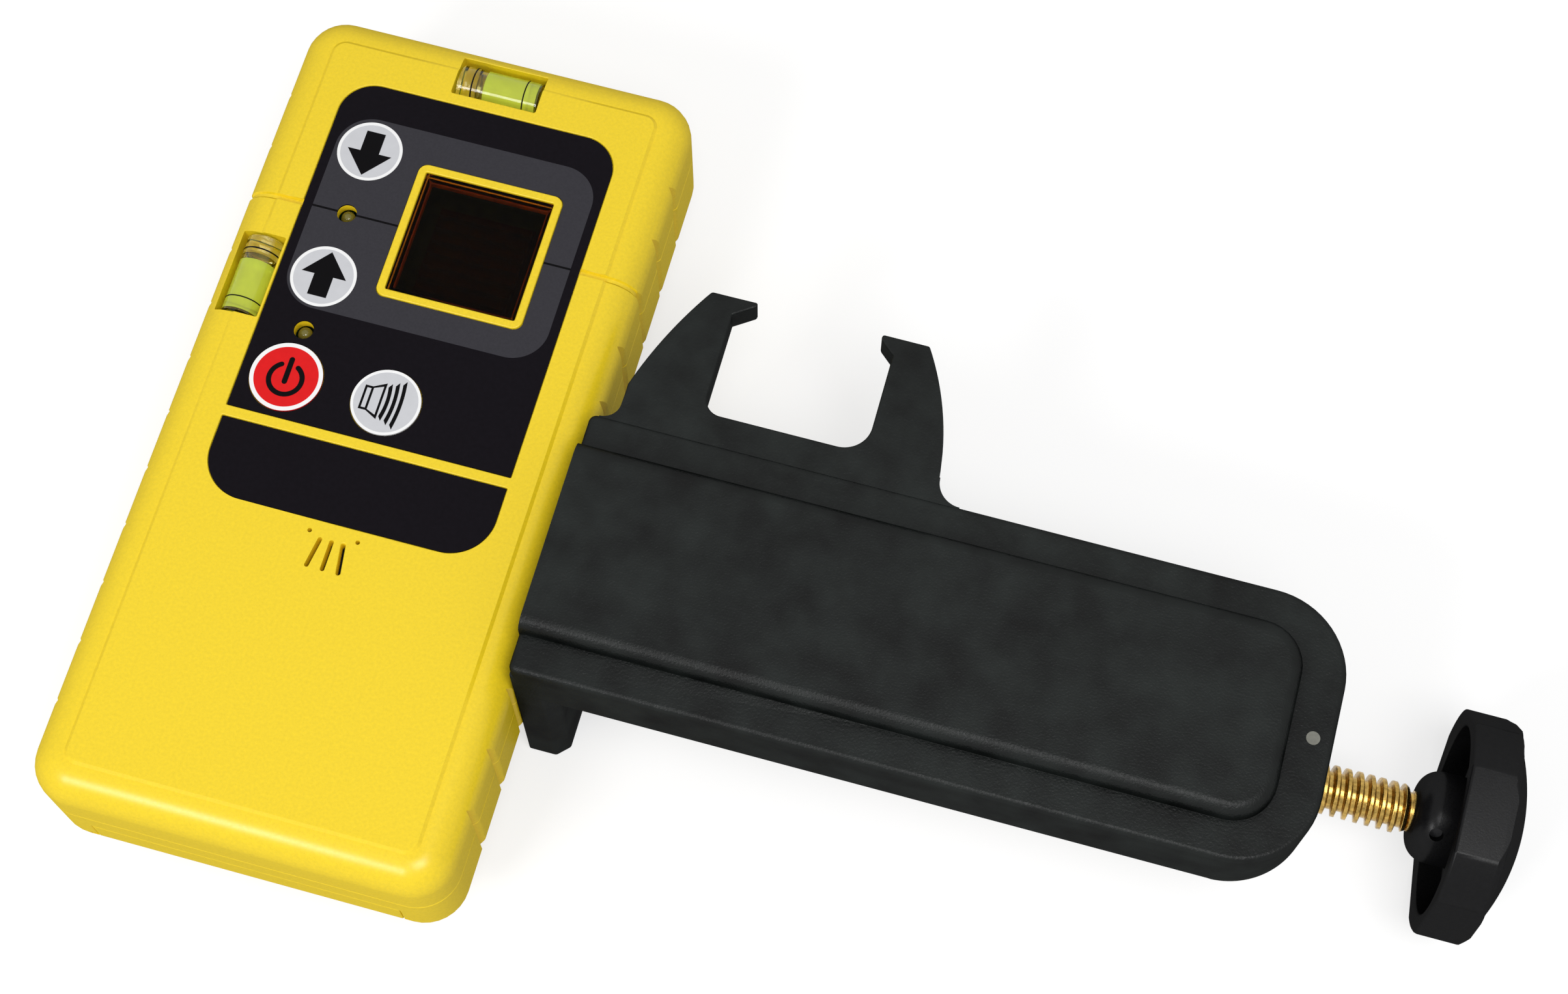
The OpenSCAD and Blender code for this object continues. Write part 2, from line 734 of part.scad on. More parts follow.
// Row of light cells behind the window
module photodiode_strip() color("dimgray") {
    w = window_w - 2 * (frame_wall + filter_ledge + fit_gap) - diode_margin;
    h = window_h - 2 * (frame_wall + filter_ledge + fit_gap) - diode_margin;
    pitch = h / diode_rows;
    translate([window_x, -window_drop, board_top]) {
        span_box([-w / 2, -h / 2, 0], [w / 2, h / 2, diode_h - board_t]);
        for (i = [0:diode_rows - 1])
            span_box([-w / 2 + bite, -h / 2 + (i + 1 / 4) * pitch, 0],
                [w / 2 - bite, -h / 2 + (i + 3 / 4) * pitch, diode_h]);
    }
}

module buzzer() color("black") translate([0, -slots_drop - slot_l / 2, front_in - buzzer_h]) difference() {
    cylinder(d = buzzer_d, h = buzzer_h);
    translate([0, 0, buzzer_h - board_t]) cylinder(d = buzzer_d / 2, h = overrun);
}

module battery() color("slategray") {
    translate([battery_x, 0, 0]) rotate([90, 0, 90]) linear_extrude(battery_body_l)
        round_rect(bay_low + bay_gap, battery_z, bay_low + bay_gap + battery_w, battery_z + battery_t,
            battery_edge_r);
    for (i = [-1, 1] * terminal_space / 2)
        rod_x(terminal_d / 2, battery_x + battery_body_l - bite, terminal_l + bite,
            (bay_low + bay_top) / 2 + i, battery_z + battery_t / 2);
}

// Snap cups on a strip against the bay's wall
module battery_contacts() color("silver") {
    span_box([contact_x, bay_low + bay_gap, battery_z], [bay_right, bay_top - bay_gap, rear_seam - tongue_t]);
    for (i = [-1, 1] * terminal_space / 2) difference() {
        rod_x(terminal_d / 2 + contact_rim, contact_x - cup_l / 2, cup_l / 2 + bite,
            (bay_low + bay_top) / 2 + i, battery_z + battery_t / 2);
        rod_x(terminal_d / 2 + fit_gap, contact_x - cup_l, cup_l,
            (bay_low + bay_top) / 2 + i, battery_z + battery_t / 2);
    }
}

module bracket_inserts() color("goldenrod") for (i = [-1, 1] * mount_span / 2) difference() {
    rod_x(insert_r, side_x - insert_l, insert_l, arm_y + i, mount_z);
    rod_x(mount_screw_d / 2 + touch_gap, side_x - insert_l - overrun, insert_l + 2 * overrun,
        arm_y + i, mount_z);
}

module bracket_screws() color("silver") for (i = [-1, 1] * mount_span / 2) {
    rod_x(mount_screw_d / 2, side_x - insert_l, insert_l + jaw_plate_t - mount_sink, arm_y + i, mount_z);
    rod_x(mount_head_d / 2, fixed_face - mount_sink, mount_head_t, arm_y + i, mount_z);
}

// Plan of the arm or its pocket, round at the outer end, set in from its sides
module arm_outline(inset) {
    y0 = arm_y - arm_w / 2 + inset;
    y1 = arm_y + arm_w / 2 - inset;
    r = arm_corner_r - inset;
    translate([arm_x + inset, y0]) square([arm_l - 2 * inset - r, y1 - y0]);
    translate([arm_x + inset, y0 + r]) square([arm_l - 2 * inset, y1 - y0 - 2 * r]);
    for (y = [y0 + r, y1 - r]) translate([arm_end - inset - r, y]) circle(r = r);
}

// Arm with its top edge rounded
module arm_form() hull() for (i = [-1, 1]) {
    translate([arm_end - arm_corner_r, arm_y + i * (arm_w / 2 - arm_corner_r), 0])
        corner_post(arm_corner_r, skirt_z, rim_z, 0, arm_edge_r);
    translate([arm_x + arm_left_r, arm_y + i * (arm_w / 2 - arm_left_r), 0])
        corner_post(arm_left_r, skirt_z, rim_z, 0, arm_edge_r);
}

// Raised ridge that ends flush with the arm's inner end
module ridge_form() intersection() {
    hull() for (i = [-1, 1], x = [arm_x - ridge_r, ridge_end - ridge_r])
        translate([x, arm_y + i * (ridge_w / 2 - ridge_r), 0])
            corner_post(ridge_r, plate_in, rim_z + ridge_rise, 0, ridge_edge_r);
    span_box([arm_x, arm_y - arm_w, skirt_z], [arm_end, arm_y + arm_w, rim_z + 2 * ridge_rise]);
}

// Plan of the prongs, with the gap and hooks between them
module prong_outline() translate([arm_x, arm_top_y]) {
    tip = prong_rise;
    right = gap_x + gap_w;
    difference() {
        polygon(concat([[left_root, -skirt_wall]],
            bow([left_root, left_root_share * tip], [left_bow, left_bow_share * tip], [left_tip, tip]),
            bow([right_tip, tip], [right_bow, right_bow_share * tip],
                [right_root, right_root_share * tip]),
            [[right_root, -skirt_wall]]));
        translate([gap_x, gap_floor + gap_right_r]) square([gap_w, tip]);
        translate([gap_x + gap_left_r, gap_floor]) square([gap_w - gap_left_r - gap_right_r, tip]);
        translate([gap_x, gap_floor + gap_left_r]) square([gap_w / 2, tip]);
        translate([gap_x + gap_left_r, gap_floor + gap_left_r]) circle(r = gap_left_r);
        translate([right - gap_right_r, gap_floor + gap_right_r]) circle(r = gap_right_r);
    }
    polygon([[gap_x - bite, tip], [gap_x + left_hook, tip], [gap_x + left_hook, tip - left_hook_nose],
        [gap_x, tip - left_hook_h], [gap_x - bite, tip - left_hook_h]]);
    polygon([[right + bite, tip], [right - right_hook, tip], [right - right_hook, tip - right_hook_nose],
        [right, tip - right_hook_h], [right + bite, tip - right_hook_h]]);
    difference() {
        translate([left_root - left_fillet, -skirt_wall])
            square([left_fillet + bite, left_fillet + skirt_wall]);
        translate([left_root - left_fillet, left_fillet]) circle(r = left_fillet);
    }
    difference() {
        translate([right_root - bite, -skirt_wall]) square([root_fillet + bite, root_fillet + skirt_wall]);
        translate([right_root + root_fillet, root_fillet]) circle(r = root_fillet);
    }
}

module bracket_arm() color([0.15, 0.16, 0.15]) difference() {
    union() {
        difference() {
            union() {
                arm_form();
                ridge_form();
            }
            translate([0, 0, skirt_z - overrun]) linear_extrude(plate_in - skirt_z + overrun)
                intersection() {
                    arm_outline(skirt_wall);
                    translate([fixed_face, arm_y - arm_w]) square([arm_l, 2 * arm_w]);
                }
            span_box([fixed_face, arm_y - ridge_w / 2 + skirt_wall, skirt_z],
                [ridge_end - skirt_wall, arm_y + ridge_w / 2 - skirt_wall, ridge_in]);
        }
        // Fixed jaw against the case
        translate([arm_x, arm_y, -jaw_plate_drop]) linear_extrude(plate_in + jaw_plate_drop)
            polygon([[0, -arm_w / 2], [jaw_plate_t - jaw_plate_chamfer, -arm_w / 2],
                [jaw_plate_t, -arm_w / 2 + jaw_plate_chamfer], [jaw_plate_t, arm_w / 2 - jaw_plate_chamfer],
                [jaw_plate_t - jaw_plate_chamfer, arm_w / 2], [0, arm_w / 2]]);
        // Guide ribs for the sliding jaw
        for (i = [-1, 1])
            translate([fixed_face - bite, arm_y + i * (jaw_w / 2 + rib_gap + rib_t / 2) - rib_t / 2, rib_z])
                cube([lug_x - fixed_face + 2 * bite, rib_t, ridge_in + bite - rib_z]);
        // Lug around the nut
        span_box([lug_x, arm_y - lug_r, screw_z], [arm_end - bite, arm_y + lug_r, plate_in + bite]);
        span_box([lug_x, arm_y - lug_r, screw_z], [arm_end, arm_y + lug_r, rim_z - arm_edge_r]);
        rod_x(lug_r, lug_x, lug_l, arm_y, screw_z);
        translate([0, 0, rim_z - prong_step - prong_t]) linear_extrude(prong_t) prong_outline();
    }
    rod_x(nut_r + touch_gap, lug_x + nut_seat, lug_l, arm_y, screw_z);
    rod_x(screw_d / 2 + slide_gap, lug_x - overrun, lug_l, arm_y, screw_z);
    translate([arm_end - nut_pin_inset, arm_y, screw_z])
        cylinder(d = nut_pin_d + 2 * touch_gap, h = rim_z + ridge_rise - screw_z);
    for (i = [-1, 1] * mount_span / 2) {
        rod_x(mount_screw_d / 2 + fit_gap, arm_x - overrun, jaw_plate_t + overrun, arm_y + i, mount_z);
        rod_x(mount_head_d / 2 + fit_gap, fixed_face - mount_sink, mount_sink + overrun, arm_y + i, mount_z);
    }
}

module screw_nut() color("goldenrod") difference() {
    rod_x(nut_r, lug_x + nut_seat, lug_l - nut_seat, arm_y, screw_z);
    rod_x(screw_d / 2 + run_gap, lug_x, 2 * lug_l, arm_y, screw_z);
    translate([arm_end - nut_pin_inset, arm_y, screw_z + nut_r - pin_depth])
        cylinder(d = nut_pin_d + 2 * touch_gap, h = nut_r);
}

module nut_pin() color("silver") translate([arm_end - nut_pin_inset, arm_y, screw_z + nut_r - pin_depth])
    cylinder(d = nut_pin_d, h = rim_z - screw_z - nut_r + pin_depth);

// Jaw that the screw moves, with a notch for round rods
module sliding_jaw() color([0.15, 0.16, 0.15]) difference() {
    translate([jaw_x, arm_y + jaw_w / 2, 0]) rotate([90, 0, 0]) linear_extrude(jaw_w)
        polygon([[0, jaw_low], [jaw_toe_share * jaw_t, jaw_low], [jaw_t, jaw_knee_z], [jaw_t, jaw_head_z],
            [0, jaw_head_z]]);
    translate([jaw_x, arm_y, jaw_low - overrun])
        cylinder(r = jaw_notch, h = skirt_z - jaw_low + overrun, $fn = 4);
    rod_x(journal_d / 2 + run_gap, jaw_x - overrun, jaw_t + 2 * overrun, arm_y, screw_z);
    rod_x(clip_pocket_r, jaw_x - overrun, clip_pocket_l + overrun, arm_y, screw_z);
}

clip_x = jaw_x + clip_pocket_l - clip_back - clip_t;

module clamp_screw() color("goldenrod") difference() {
    union() {
        rod_x(journal_d / 2, jaw_x + tip_setback, shoulder_x - jaw_x - tip_setback + bite, arm_y, screw_z);
        rod_x(screw_d / 2, shoulder_x, hub_x - shoulder_x, arm_y, screw_z);
        rod_x(shank_d / 2, hub_x - bite, hub_l + knob_rim_l - shank_stop + bite, arm_y, screw_z);
    }
    difference() {
        rod_x(screw_d, clip_x - touch_gap, clip_t + 2 * touch_gap, arm_y, screw_z);
        rod_x(journal_d / 2 - clip_groove, clip_x - overrun, clip_t + 2 * overrun, arm_y, screw_z);
    }
    grub_bore(grub_d / 2 + touch_gap, shank_d / 2 - grub_l / 2);
}

// Snap ring in the journal's groove
module jaw_retainer() color("dimgray") difference() {
    rod_x(clip_r, clip_x, clip_t, arm_y, screw_z);
    rod_x(journal_d / 2 - clip_groove + touch_gap, clip_x - overrun, clip_t + 2 * overrun, arm_y, screw_z);
    translate([clip_x - overrun, arm_y - clip_mouth_share * journal_d / 2, screw_z])
        cube([clip_t + 2 * overrun, clip_mouth_share * journal_d, clip_r * 2]);
}

// Radial hole in the hub for the grub screw, from a distance off the axis outwards
module grub_bore(r, from) translate([hub_x + grub_x, arm_y, screw_z]) rotate([grub_turn - 90, 0, 0])
    translate([0, 0, from]) cylinder(r = r, h = hub_d);

module knob_profile() polygon(concat(
    [[0, 0], [knob_r, 0], [knob_r, knob_rim_l], [knob_r - knob_edge, dome_x]],
    [for (i = [0:arc_steps * 2]) let (a = asin(dome_base_r / dome_r) * (1 - i / arc_steps / 2))
        [dome_r * sin(a), dome_x + dome_h - dome_r + dome_r * cos(a)]]));

module knob() color([0.1, 0.1, 0.1]) difference() {
    translate([knob_x, arm_y, screw_z]) rotate([0, 90, 0]) {
        difference() {
            intersection() {
                rotate_extrude($fn = 96) knob_profile();
                rotate(knob_turn - 180) cylinder(r = knob_flat / cos(36), h = knob_d, $fn = 5);
            }
            translate([0, 0, -overrun])
                cylinder(r = knob_flat - knob_wall, h = knob_rim_l - knob_floor_t + overrun);
        }
        translate([0, 0, -hub_l]) rotate_extrude() {
            translate([0, hub_round]) square([hub_d / 2, hub_l + knob_rim_l - hub_round]);
            square([hub_d / 2 - hub_round, hub_round]);
            translate([hub_d / 2 - hub_round, hub_round]) circle(r = hub_round);
        }
    }
    rod_x(shank_d / 2 + touch_gap, hub_x - overrun,
        hub_l + knob_rim_l - shank_stop + touch_gap + overrun, arm_y, screw_z);
    grub_bore(grub_d / 2 + touch_gap, 0);
}

module knob_grub_screw() color("dimgray") intersection() {
    grub_bore(grub_d / 2, shank_d / 2 - grub_l / 2 + touch_gap);
    rod_x(shank_d / 2 + grub_l, hub_x, hub_l + knob_rim_l, arm_y, screw_z);
}

front_shell();
rear_shell();
battery_door();
case_gasket();
case_screws();
upper_label();
lower_label();
window_filter();
down_arrow_lens();
up_arrow_lens();
grade_led();
power_led();
arrow_leds();
power_button();
sound_button();
tact_switches();
top_vial();
top_vial_liquid();
side_vial();
side_vial_liquid();
circuit_board();
photodiode_strip();
buzzer();
battery();
battery_contacts();
bracket_inserts();
bracket_screws();
bracket_arm();
screw_nut();
nut_pin();
sliding_jaw();
clamp_screw();
jaw_retainer();
knob();
knob_grub_screw();
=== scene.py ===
import math

import bmesh
import bpy
from mathutils import Matrix, Vector


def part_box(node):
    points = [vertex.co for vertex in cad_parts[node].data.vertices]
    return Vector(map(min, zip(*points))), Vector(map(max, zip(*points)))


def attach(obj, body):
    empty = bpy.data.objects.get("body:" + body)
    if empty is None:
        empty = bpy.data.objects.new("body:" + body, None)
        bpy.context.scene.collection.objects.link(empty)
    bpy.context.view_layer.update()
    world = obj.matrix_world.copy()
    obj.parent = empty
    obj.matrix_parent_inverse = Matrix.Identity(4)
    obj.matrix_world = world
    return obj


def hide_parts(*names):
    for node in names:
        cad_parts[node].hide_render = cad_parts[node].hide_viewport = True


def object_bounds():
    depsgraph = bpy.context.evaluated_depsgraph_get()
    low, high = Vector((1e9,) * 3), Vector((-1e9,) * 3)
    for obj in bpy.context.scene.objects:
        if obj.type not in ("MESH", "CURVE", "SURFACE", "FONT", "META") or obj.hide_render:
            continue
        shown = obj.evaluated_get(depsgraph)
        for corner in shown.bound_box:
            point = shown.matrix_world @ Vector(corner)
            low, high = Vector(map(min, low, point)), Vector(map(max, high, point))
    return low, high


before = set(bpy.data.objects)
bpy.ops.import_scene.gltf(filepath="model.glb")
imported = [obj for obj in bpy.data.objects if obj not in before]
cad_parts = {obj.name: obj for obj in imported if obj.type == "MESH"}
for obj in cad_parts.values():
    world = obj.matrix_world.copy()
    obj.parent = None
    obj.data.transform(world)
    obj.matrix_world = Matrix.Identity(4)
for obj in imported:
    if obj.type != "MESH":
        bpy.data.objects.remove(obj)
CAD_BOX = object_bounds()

bl_info = {
    "name": "Laser receiver looks",
    "version": (1, 0, 0),
    "blender": (4, 5, 0),
    "location": "View3D > Sidebar > Receiver",
    "description": "Dresses the laser receiver and its rod clamp, and sets the stage around them",
    "category": "Object",
}

MM = 0.001
LOOK_PREFIX = "look_"

# Limits for welding a solid's copy and for finding its sharp edges
WELD = 0.002 * MM
FLAT_ANGLE = math.radians(0.4)
EDGE_ANGLE = math.radians(32)
SHALLOW_ANGLE = math.radians(45)

# Limits and steps for rounding a copy's edges
STRAIGHT_TURN = math.radians(1.5)
CORNER_TURN = math.radians(40)
ROOM_SHARE = 0.4
AHEAD_SHARE = 0.5
STEEP_SHARE = 0.2
LONG_EDGE = 8
LEAST_ROUNDING = 0.004 * MM
ROUND_STEPS = 3
FLAT_WEIGHT = 100

# Limits for finding arcs and outlines in a copy
STEP_TURN = math.radians(25)
LONGER_STEP = 1.3
NEAR = 0.03 * MM

# Steps of round forms
ARC_STEPS = 16
CIRCLE_STEPS = 96
LOOP_STEPS = 64
LATHE_STEPS = 64
DISH_STEPS = 10
RING_STEPS = 64
WIRE_STEPS = 8

# Spread of the noise that a finish runs through, and swing of its gloss
NOISE_LOW = 0.3
NOISE_HIGH = 0.7
GRAIN_DETAIL = 2
GLOSS_SWING_SHARE = 0.15

# Flanks of the thread as shares of a turn, and limits at its ends
HALF_TURN_SHARE = 0.5
FLANK_ROOT_SHARE = 0.19
FLANK_CREST_SHARE = 0.325
THREAD_WELD = 0.005 * MM
THREAD_END = 0.01 * MM

# Gaps and laps where turned pieces meet
VIAL_GAP = 0.02 * MM
RING_SINK_SHARE = 0.4
THREAD_LEAD = 0.05 * MM
JOURNAL_LAP = 0.3 * MM
SHANK_LAP = 0.4 * MM
NECK_SLACK = 0.02 * MM

# Half of a unit grid, counts of like marks, and the camera's near and far limits in metres
GRID_HALF = 0.5
SOUND_WAVES = 3
VIAL_RINGS = 2
CAMERA_NEAR = 0.01
CAMERA_FAR = 10


def shade(red, green, blue):
    """Linear colour of a screen colour that is given in steps of 0 to 255."""
    steps = [step / 255 for step in (red, green, blue)]
    return [step / 12.92 if step <= 0.04045 else ((step + 0.055) / 1.055) ** 2.4 for step in steps]


def middle(node):
    """Middle of a node's box."""
    low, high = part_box(node)
    return (low + high) / 2


def level(node):
    """Highest level of a node."""
    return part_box(node)[1].z


def span(node):
    """Width, depth and height of a node's box."""
    low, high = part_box(node)
    return high - low


def length_prop(name, description, millimetres):
    """Length that is given in millimetres."""
    return bpy.props.FloatProperty(
        name=name, description=description, default=millimetres * MM, unit="LENGTH", precision=5
    )


def angle_prop(name, description, degrees):
    """Angle that is given in degrees."""
    return bpy.props.FloatProperty(
        name=name, description=description, default=math.radians(degrees), unit="ROTATION"
    )


def colour_prop(name, description, red, green, blue):
    """Colour that is given in screen steps."""
    return bpy.props.FloatVectorProperty(
        name=name, description=description, default=shade(red, green, blue), subtype="COLOR", size=3,
        min=0, max=1,
    )


def share_prop(name, description, share):
    """Share of a whole."""
    return bpy.props.FloatProperty(
        name=name, description=description, default=share, min=0, subtype="FACTOR", soft_max=1
    )


def number_prop(name, description, number, unit):
    """Number in one of Blender's other units."""
    return bpy.props.FloatProperty(name=name, description=description, default=number, unit=unit)


def count_prop(name, description, count):
    """Count of steps."""
    return bpy.props.IntProperty(name=name, description=description, default=count)


def place_prop(name, description, place):
    """Place in metres."""
    return bpy.props.FloatVectorProperty(
        name=name, description=description, default=place, subtype="TRANSLATION", size=3, precision=5
    )


class ReceiverColours(bpy.types.PropertyGroup):
    """Colours of the receiver and its clamp"""

    case_yellow: colour_prop("Case yellow", "Moulded plastic of the shells and the door", 246, 214, 36)
    label_black: colour_prop("Label black", "Ground of both labels", 17, 14, 19)
    label_grey: colour_prop("Label grey", "Field around the window and the arrows", 58, 57, 62)
    disc_grey: colour_prop("Disc grey", "Arrow lenses and the sound button", 208, 209, 213)
    print_white: colour_prop("Print white", "Rings around lenses and buttons", 250, 250, 250)
    print_black: colour_prop("Print black", "Arrows, signs and lines", 8, 7, 9)
    power_red: colour_prop("Power red", "Cap of the power button", 226, 28, 30)
    filter_amber: colour_prop("Filter amber", "Window filter", 135, 84, 24)
    lamp_olive: colour_prop("Lamp olive", "Lenses of the small lamps", 150, 140, 60)
    # This colour is also the colour of the vial liquid's painted glow
    vial_green: colour_prop("Vial green", "Liquid in the level vials", 220, 233, 88)
    vial_clear: colour_prop("Vial clear", "Ends of the level vials", 228, 227, 192)
    clamp_black: colour_prop("Clamp black", "Moulded arm and jaw", 20, 23, 22)
    knob_black: colour_prop("Knob black", "Moulded knob", 17, 17, 18)
    brass: colour_prop("Brass", "Clamp screw, nut and inserts", 178, 146, 78)
    steel: colour_prop("Steel", "Pin, screws and snap ring", 116, 116, 109)
    seal_grey: colour_prop("Seal grey", "Gasket in the seam", 96, 86, 30)
    board_green: colour_prop("Board green", "Circuit board", 22, 92, 48)
    inner_black: colour_prop("Inner black", "Switches, buzzer and light cells", 36, 36, 38)
    battery_grey: colour_prop("Battery grey", "Battery jacket", 74, 78, 86)


class ReceiverEdges(bpy.types.PropertyGroup):
    """Roundings, slopes and set-backs of moulded pieces"""

    case: length_prop("Case edges", "Rounding of the case's moulded edges", 0.3)
    groove: length_prop("Groove shoulders", "Rounding beside the grip grooves", 0.8)
    groove_reach: length_prop("Groove reach", "Distance from the side within which grooves lie", 0.9)
    clamp: length_prop("Clamp edges", "Rounding of the clamp's moulded edges", 0.5)
    crease: length_prop("Clamp creases", "Rounding of the clamp's inner corners", 0.06)
    arm_round: length_prop("Arm end", "Radius of the round corners at the arm's end", 16)
    knob: length_prop("Knob edges", "Rounding of the knob's edges", 0.7)
    cap: length_prop("Button edges", "Rounding of the button caps", 0.25)
    panel_margin: length_prop("Panel margin", "Border around the raised panel", 6.6)
    panel_round: length_prop("Panel corners", "Corner radius of the raised panel", 3)
    panel_slope: length_prop("Panel slope", "Width of the slope around the raised panel", 0.65)
    grade_half: length_prop("Grade groove", "Half width of the grade groove's floor", 0.35)
    grade_slope: length_prop("Grade slope", "Width of the grade groove's slopes", 0.35)
    seal_round: length_prop("Seal corners", "Corner radius of the gasket", 7.9)
    seal_inset: length_prop("Seal inset", "Distance of the gasket behind its edge in the seam", 0.8)


class ReceiverKnob(bpy.types.PropertyGroup):
    """Knob of the clamp screw"""

    turn: angle_prop("Turn", "Turn of the rim's flats about the axis", 18)
    hub: length_prop("Hub", "Diameter of the hub", 18)
    dome: length_prop("Dome", "Height of the domed face above the rim", 6.4)


class ReceiverPrints(bpy.types.PropertyGroup):
    """Printed fields and signs on the labels, lenses and buttons"""

    ink: length_prop("Ink", "Thickness of the print", 0.03)
    field_left: length_prop("Field left", "Left edge of the grey field from the middle line", -27.1)
    field_right: length_prop("Field right", "Right edge of the grey field from the middle line", 27.2)
    field_low: length_prop("Field low", "Lower edge of the grey field from the grade line", -21.8)
    field_high: length_prop("Field high", "Upper edge of the grey field from the grade line", 22.0)
    field_round: length_prop("Field corners", "Corner radius of the grey field", 7.3)
    window_rim: length_prop("Window rim", "Width of the frame around the window", 1.95)
    line: length_prop("Grade line", "Thickness of the printed grade line", 0.42)
    ring: length_prop("Lens ring", "Width of the white ring on a lens", 0.61)
    power_ring: length_prop("Power ring", "Width of the white ring on the power button", 0.83)
    sound_ring: length_prop("Sound ring", "Width of the white ring on the sound button", 0.55)
    arrow_shaft: length_prop("Arrow shaft", "Half width of an arrow's shaft", 1.97)
    arrow_head: length_prop("Arrow head", "Half width of an arrow's head", 4.65)
    arrow_tail: length_prop("Arrow tail", "Tail of an arrow behind its disc's middle", 4.43)
    arrow_neck: length_prop("Arrow neck", "Start of an arrow's head ahead of its disc's middle", 0.22)
    arrow_tip: length_prop("Arrow tip", "Tip of an arrow ahead of its disc's middle", 5.54)
    bar: length_prop("Power bar", "Width of the bar in the power sign", 1.08)
    bar_top: length_prop("Bar top", "Upper end of the bar from the button's middle", 3.8)
    bar_low: length_prop("Bar low", "Lower end of the bar from the button's middle", -1.05)
    loop: length_prop("Power loop", "Radius of the loop in the power sign", 3.3)
    loop_line: length_prop("Loop line", "Width of the loop's line", 1.02)
    loop_drop: length_prop("Loop drop", "Middle of the loop below the button's middle", 0.47)
    loop_gap: angle_prop("Loop gap", "Half of the loop's opening at the top", 31)


class ReceiverSpeaker(bpy.types.PropertyGroup):
    """Speaker sign on the sound button, with its places from the button's middle"""

    back: length_prop("Back", "Back of the cell", -4.94)
    waist: length_prop("Waist", "Joint between the cell and the cone", -3.4)
    mouth: length_prop("Mouth", "Front of the cone", -0.86)
    cell: length_prop("Cell", "Half height of the cell", 2.6)
    cone: length_prop("Cone", "Half height of the cone's front", 3.93)
    line: length_prop("Line", "Width of the outline", 0.46)
    waist_drop: length_prop("Waist drop", "Drop of the cone's hollow at the waist", 0.276)
    mouth_drop: length_prop("Mouth drop", "Drop of the cone's hollow at the mouth", 0.828)
    wave: length_prop("First wave", "Crown of the first wave", 0.6)
    wave_step: length_prop("Wave step", "Distance from one wave to the next", 1.32)
    wave_width: length_prop("Wave width", "Width of a wave at its crown", 0.74)
    wave_reach: length_prop("Wave reach", "Half height of the first wave", 4.06)
    wave_growth: length_prop("Wave growth", "Gain in half height from one wave to the next", 0.6)
    wave_trim: length_prop("Wave trim", "Lack of half height on a wave's inner side", 0.9)
    outer_top: length_prop("Outer top", "Bow of a wave's outer side at its upper end", 0.45)
    outer_low: length_prop("Outer low", "Bow of a wave's outer side at its lower end", 0.5)
    inner_top: length_prop("Inner top", "Bow of a wave's inner side at its upper end", 0.32)
    inner_low: length_prop("Inner low", "Bow of a wave's inner side at its lower end", 0.4)


class ReceiverVials(bpy.types.PropertyGroup):
    """Level vials"""

    cap: length_prop("Cap", "Length of a vial's solid end", 4.0)
    bubble: length_prop("Bubble", "Length of the air between the cap and the liquid", 1.7)
    dish: length_prop("Dish", "Depth of the liquid's hollow face", 0.9)
    wall: length_prop("Wall", "Wall of the clear tube", 0.8)
    rounding: length_prop("Rounding", "Bevel of the clear ends", 0.35)
    ring_span: length_prop("Ring span", "Distance between a vial's two rings", 11.05)
    ring_shift: length_prop("Ring shift", "Middle of the rings from the vial's middle", -0.1)
    ring_wire: length_prop("Ring wire", "Half width of a ring", 0.16)


class ReceiverScrew(bpy.types.PropertyGroup):
    """Clamp screw with its thread, journal and shank"""

    pitch: length_prop("Pitch", "Distance between two turns of the thread", 2.27)
    depth: length_prop("Depth", "Depth of the thread", 1.3)
    phase: share_prop("Phase", "Share of a turn by which the thread starts early", 0.4)
    journal: length_prop("Journal", "Diameter of the screw's journal in the jaw", 7.0)
    chamfer: length_prop("Chamfer", "Bevel of the journal's end", 0.5)
    neck: length_prop("Neck", "Depth of the snap ring's groove", 0.9)
    shank: length_prop("Shank", "Diameter of the screw's shank in the knob", 8.0)
    around: count_prop("Steps around", "Faces around the thread", 40)
    per_turn: count_prop("Steps per turn", "Faces along one turn", 24)


class ReceiverStage(bpy.types.PropertyGroup):
    """Floor, light and camera"""

    camera_place: place_prop("Camera place", "Where the camera stands", (0.12846, -0.22119, 0.52231))
    camera_turn: bpy.props.FloatVectorProperty(
        name="Camera turn", description="How the camera is turned", subtype="EULER", size=3,
        default=[math.radians(angle) for angle in (21.2407, -0.3975, 15.3136)],
    )
    camera_lens: number_prop("Camera lens", "Focal length in millimetres", 62.72, "CAMERA")
    sensor: number_prop("Sensor", "Sensor width in millimetres", 36, "CAMERA")
    floor_size: length_prop("Floor size", "Side of the floor", 9000)
    floor_gap: length_prop("Floor gap", "Distance of the floor below the object", 0.3)
    floor_glow: share_prop("Floor glow", "Strength of the floor's own white", 0.62)
    floor_tone: share_prop("Floor tone", "Share of the light that the floor sends back", 0.5)
    fill: share_prop("Fill light", "Strength of the light from all around", 0.44)
    key_power: number_prop("Key power", "Power of the main lamp in watts", 4.6, "POWER")
    key_size: length_prop("Key size", "Side of the main lamp", 420)
    key_place: place_prop("Key place", "Where the main lamp hangs", (0.32, -0.375, 1.03))
    front_power: number_prop("Front power", "Power of the small lamp in watts", 3.0, "POWER")
    front_size: length_prop("Front size", "Side of the small lamp in front", 260)
    front_place: place_prop("Front place", "Where the small lamp stands", (-0.24, -0.72, 0.7))


GROUPS = {
    "receiver_colours": ReceiverColours,
    "receiver_edges": ReceiverEdges,
    "receiver_knob": ReceiverKnob,
    "receiver_prints": ReceiverPrints,
    "receiver_speaker": ReceiverSpeaker,
    "receiver_vials": ReceiverVials,
    "receiver_screw": ReceiverScrew,
    "receiver_stage": ReceiverStage,
}

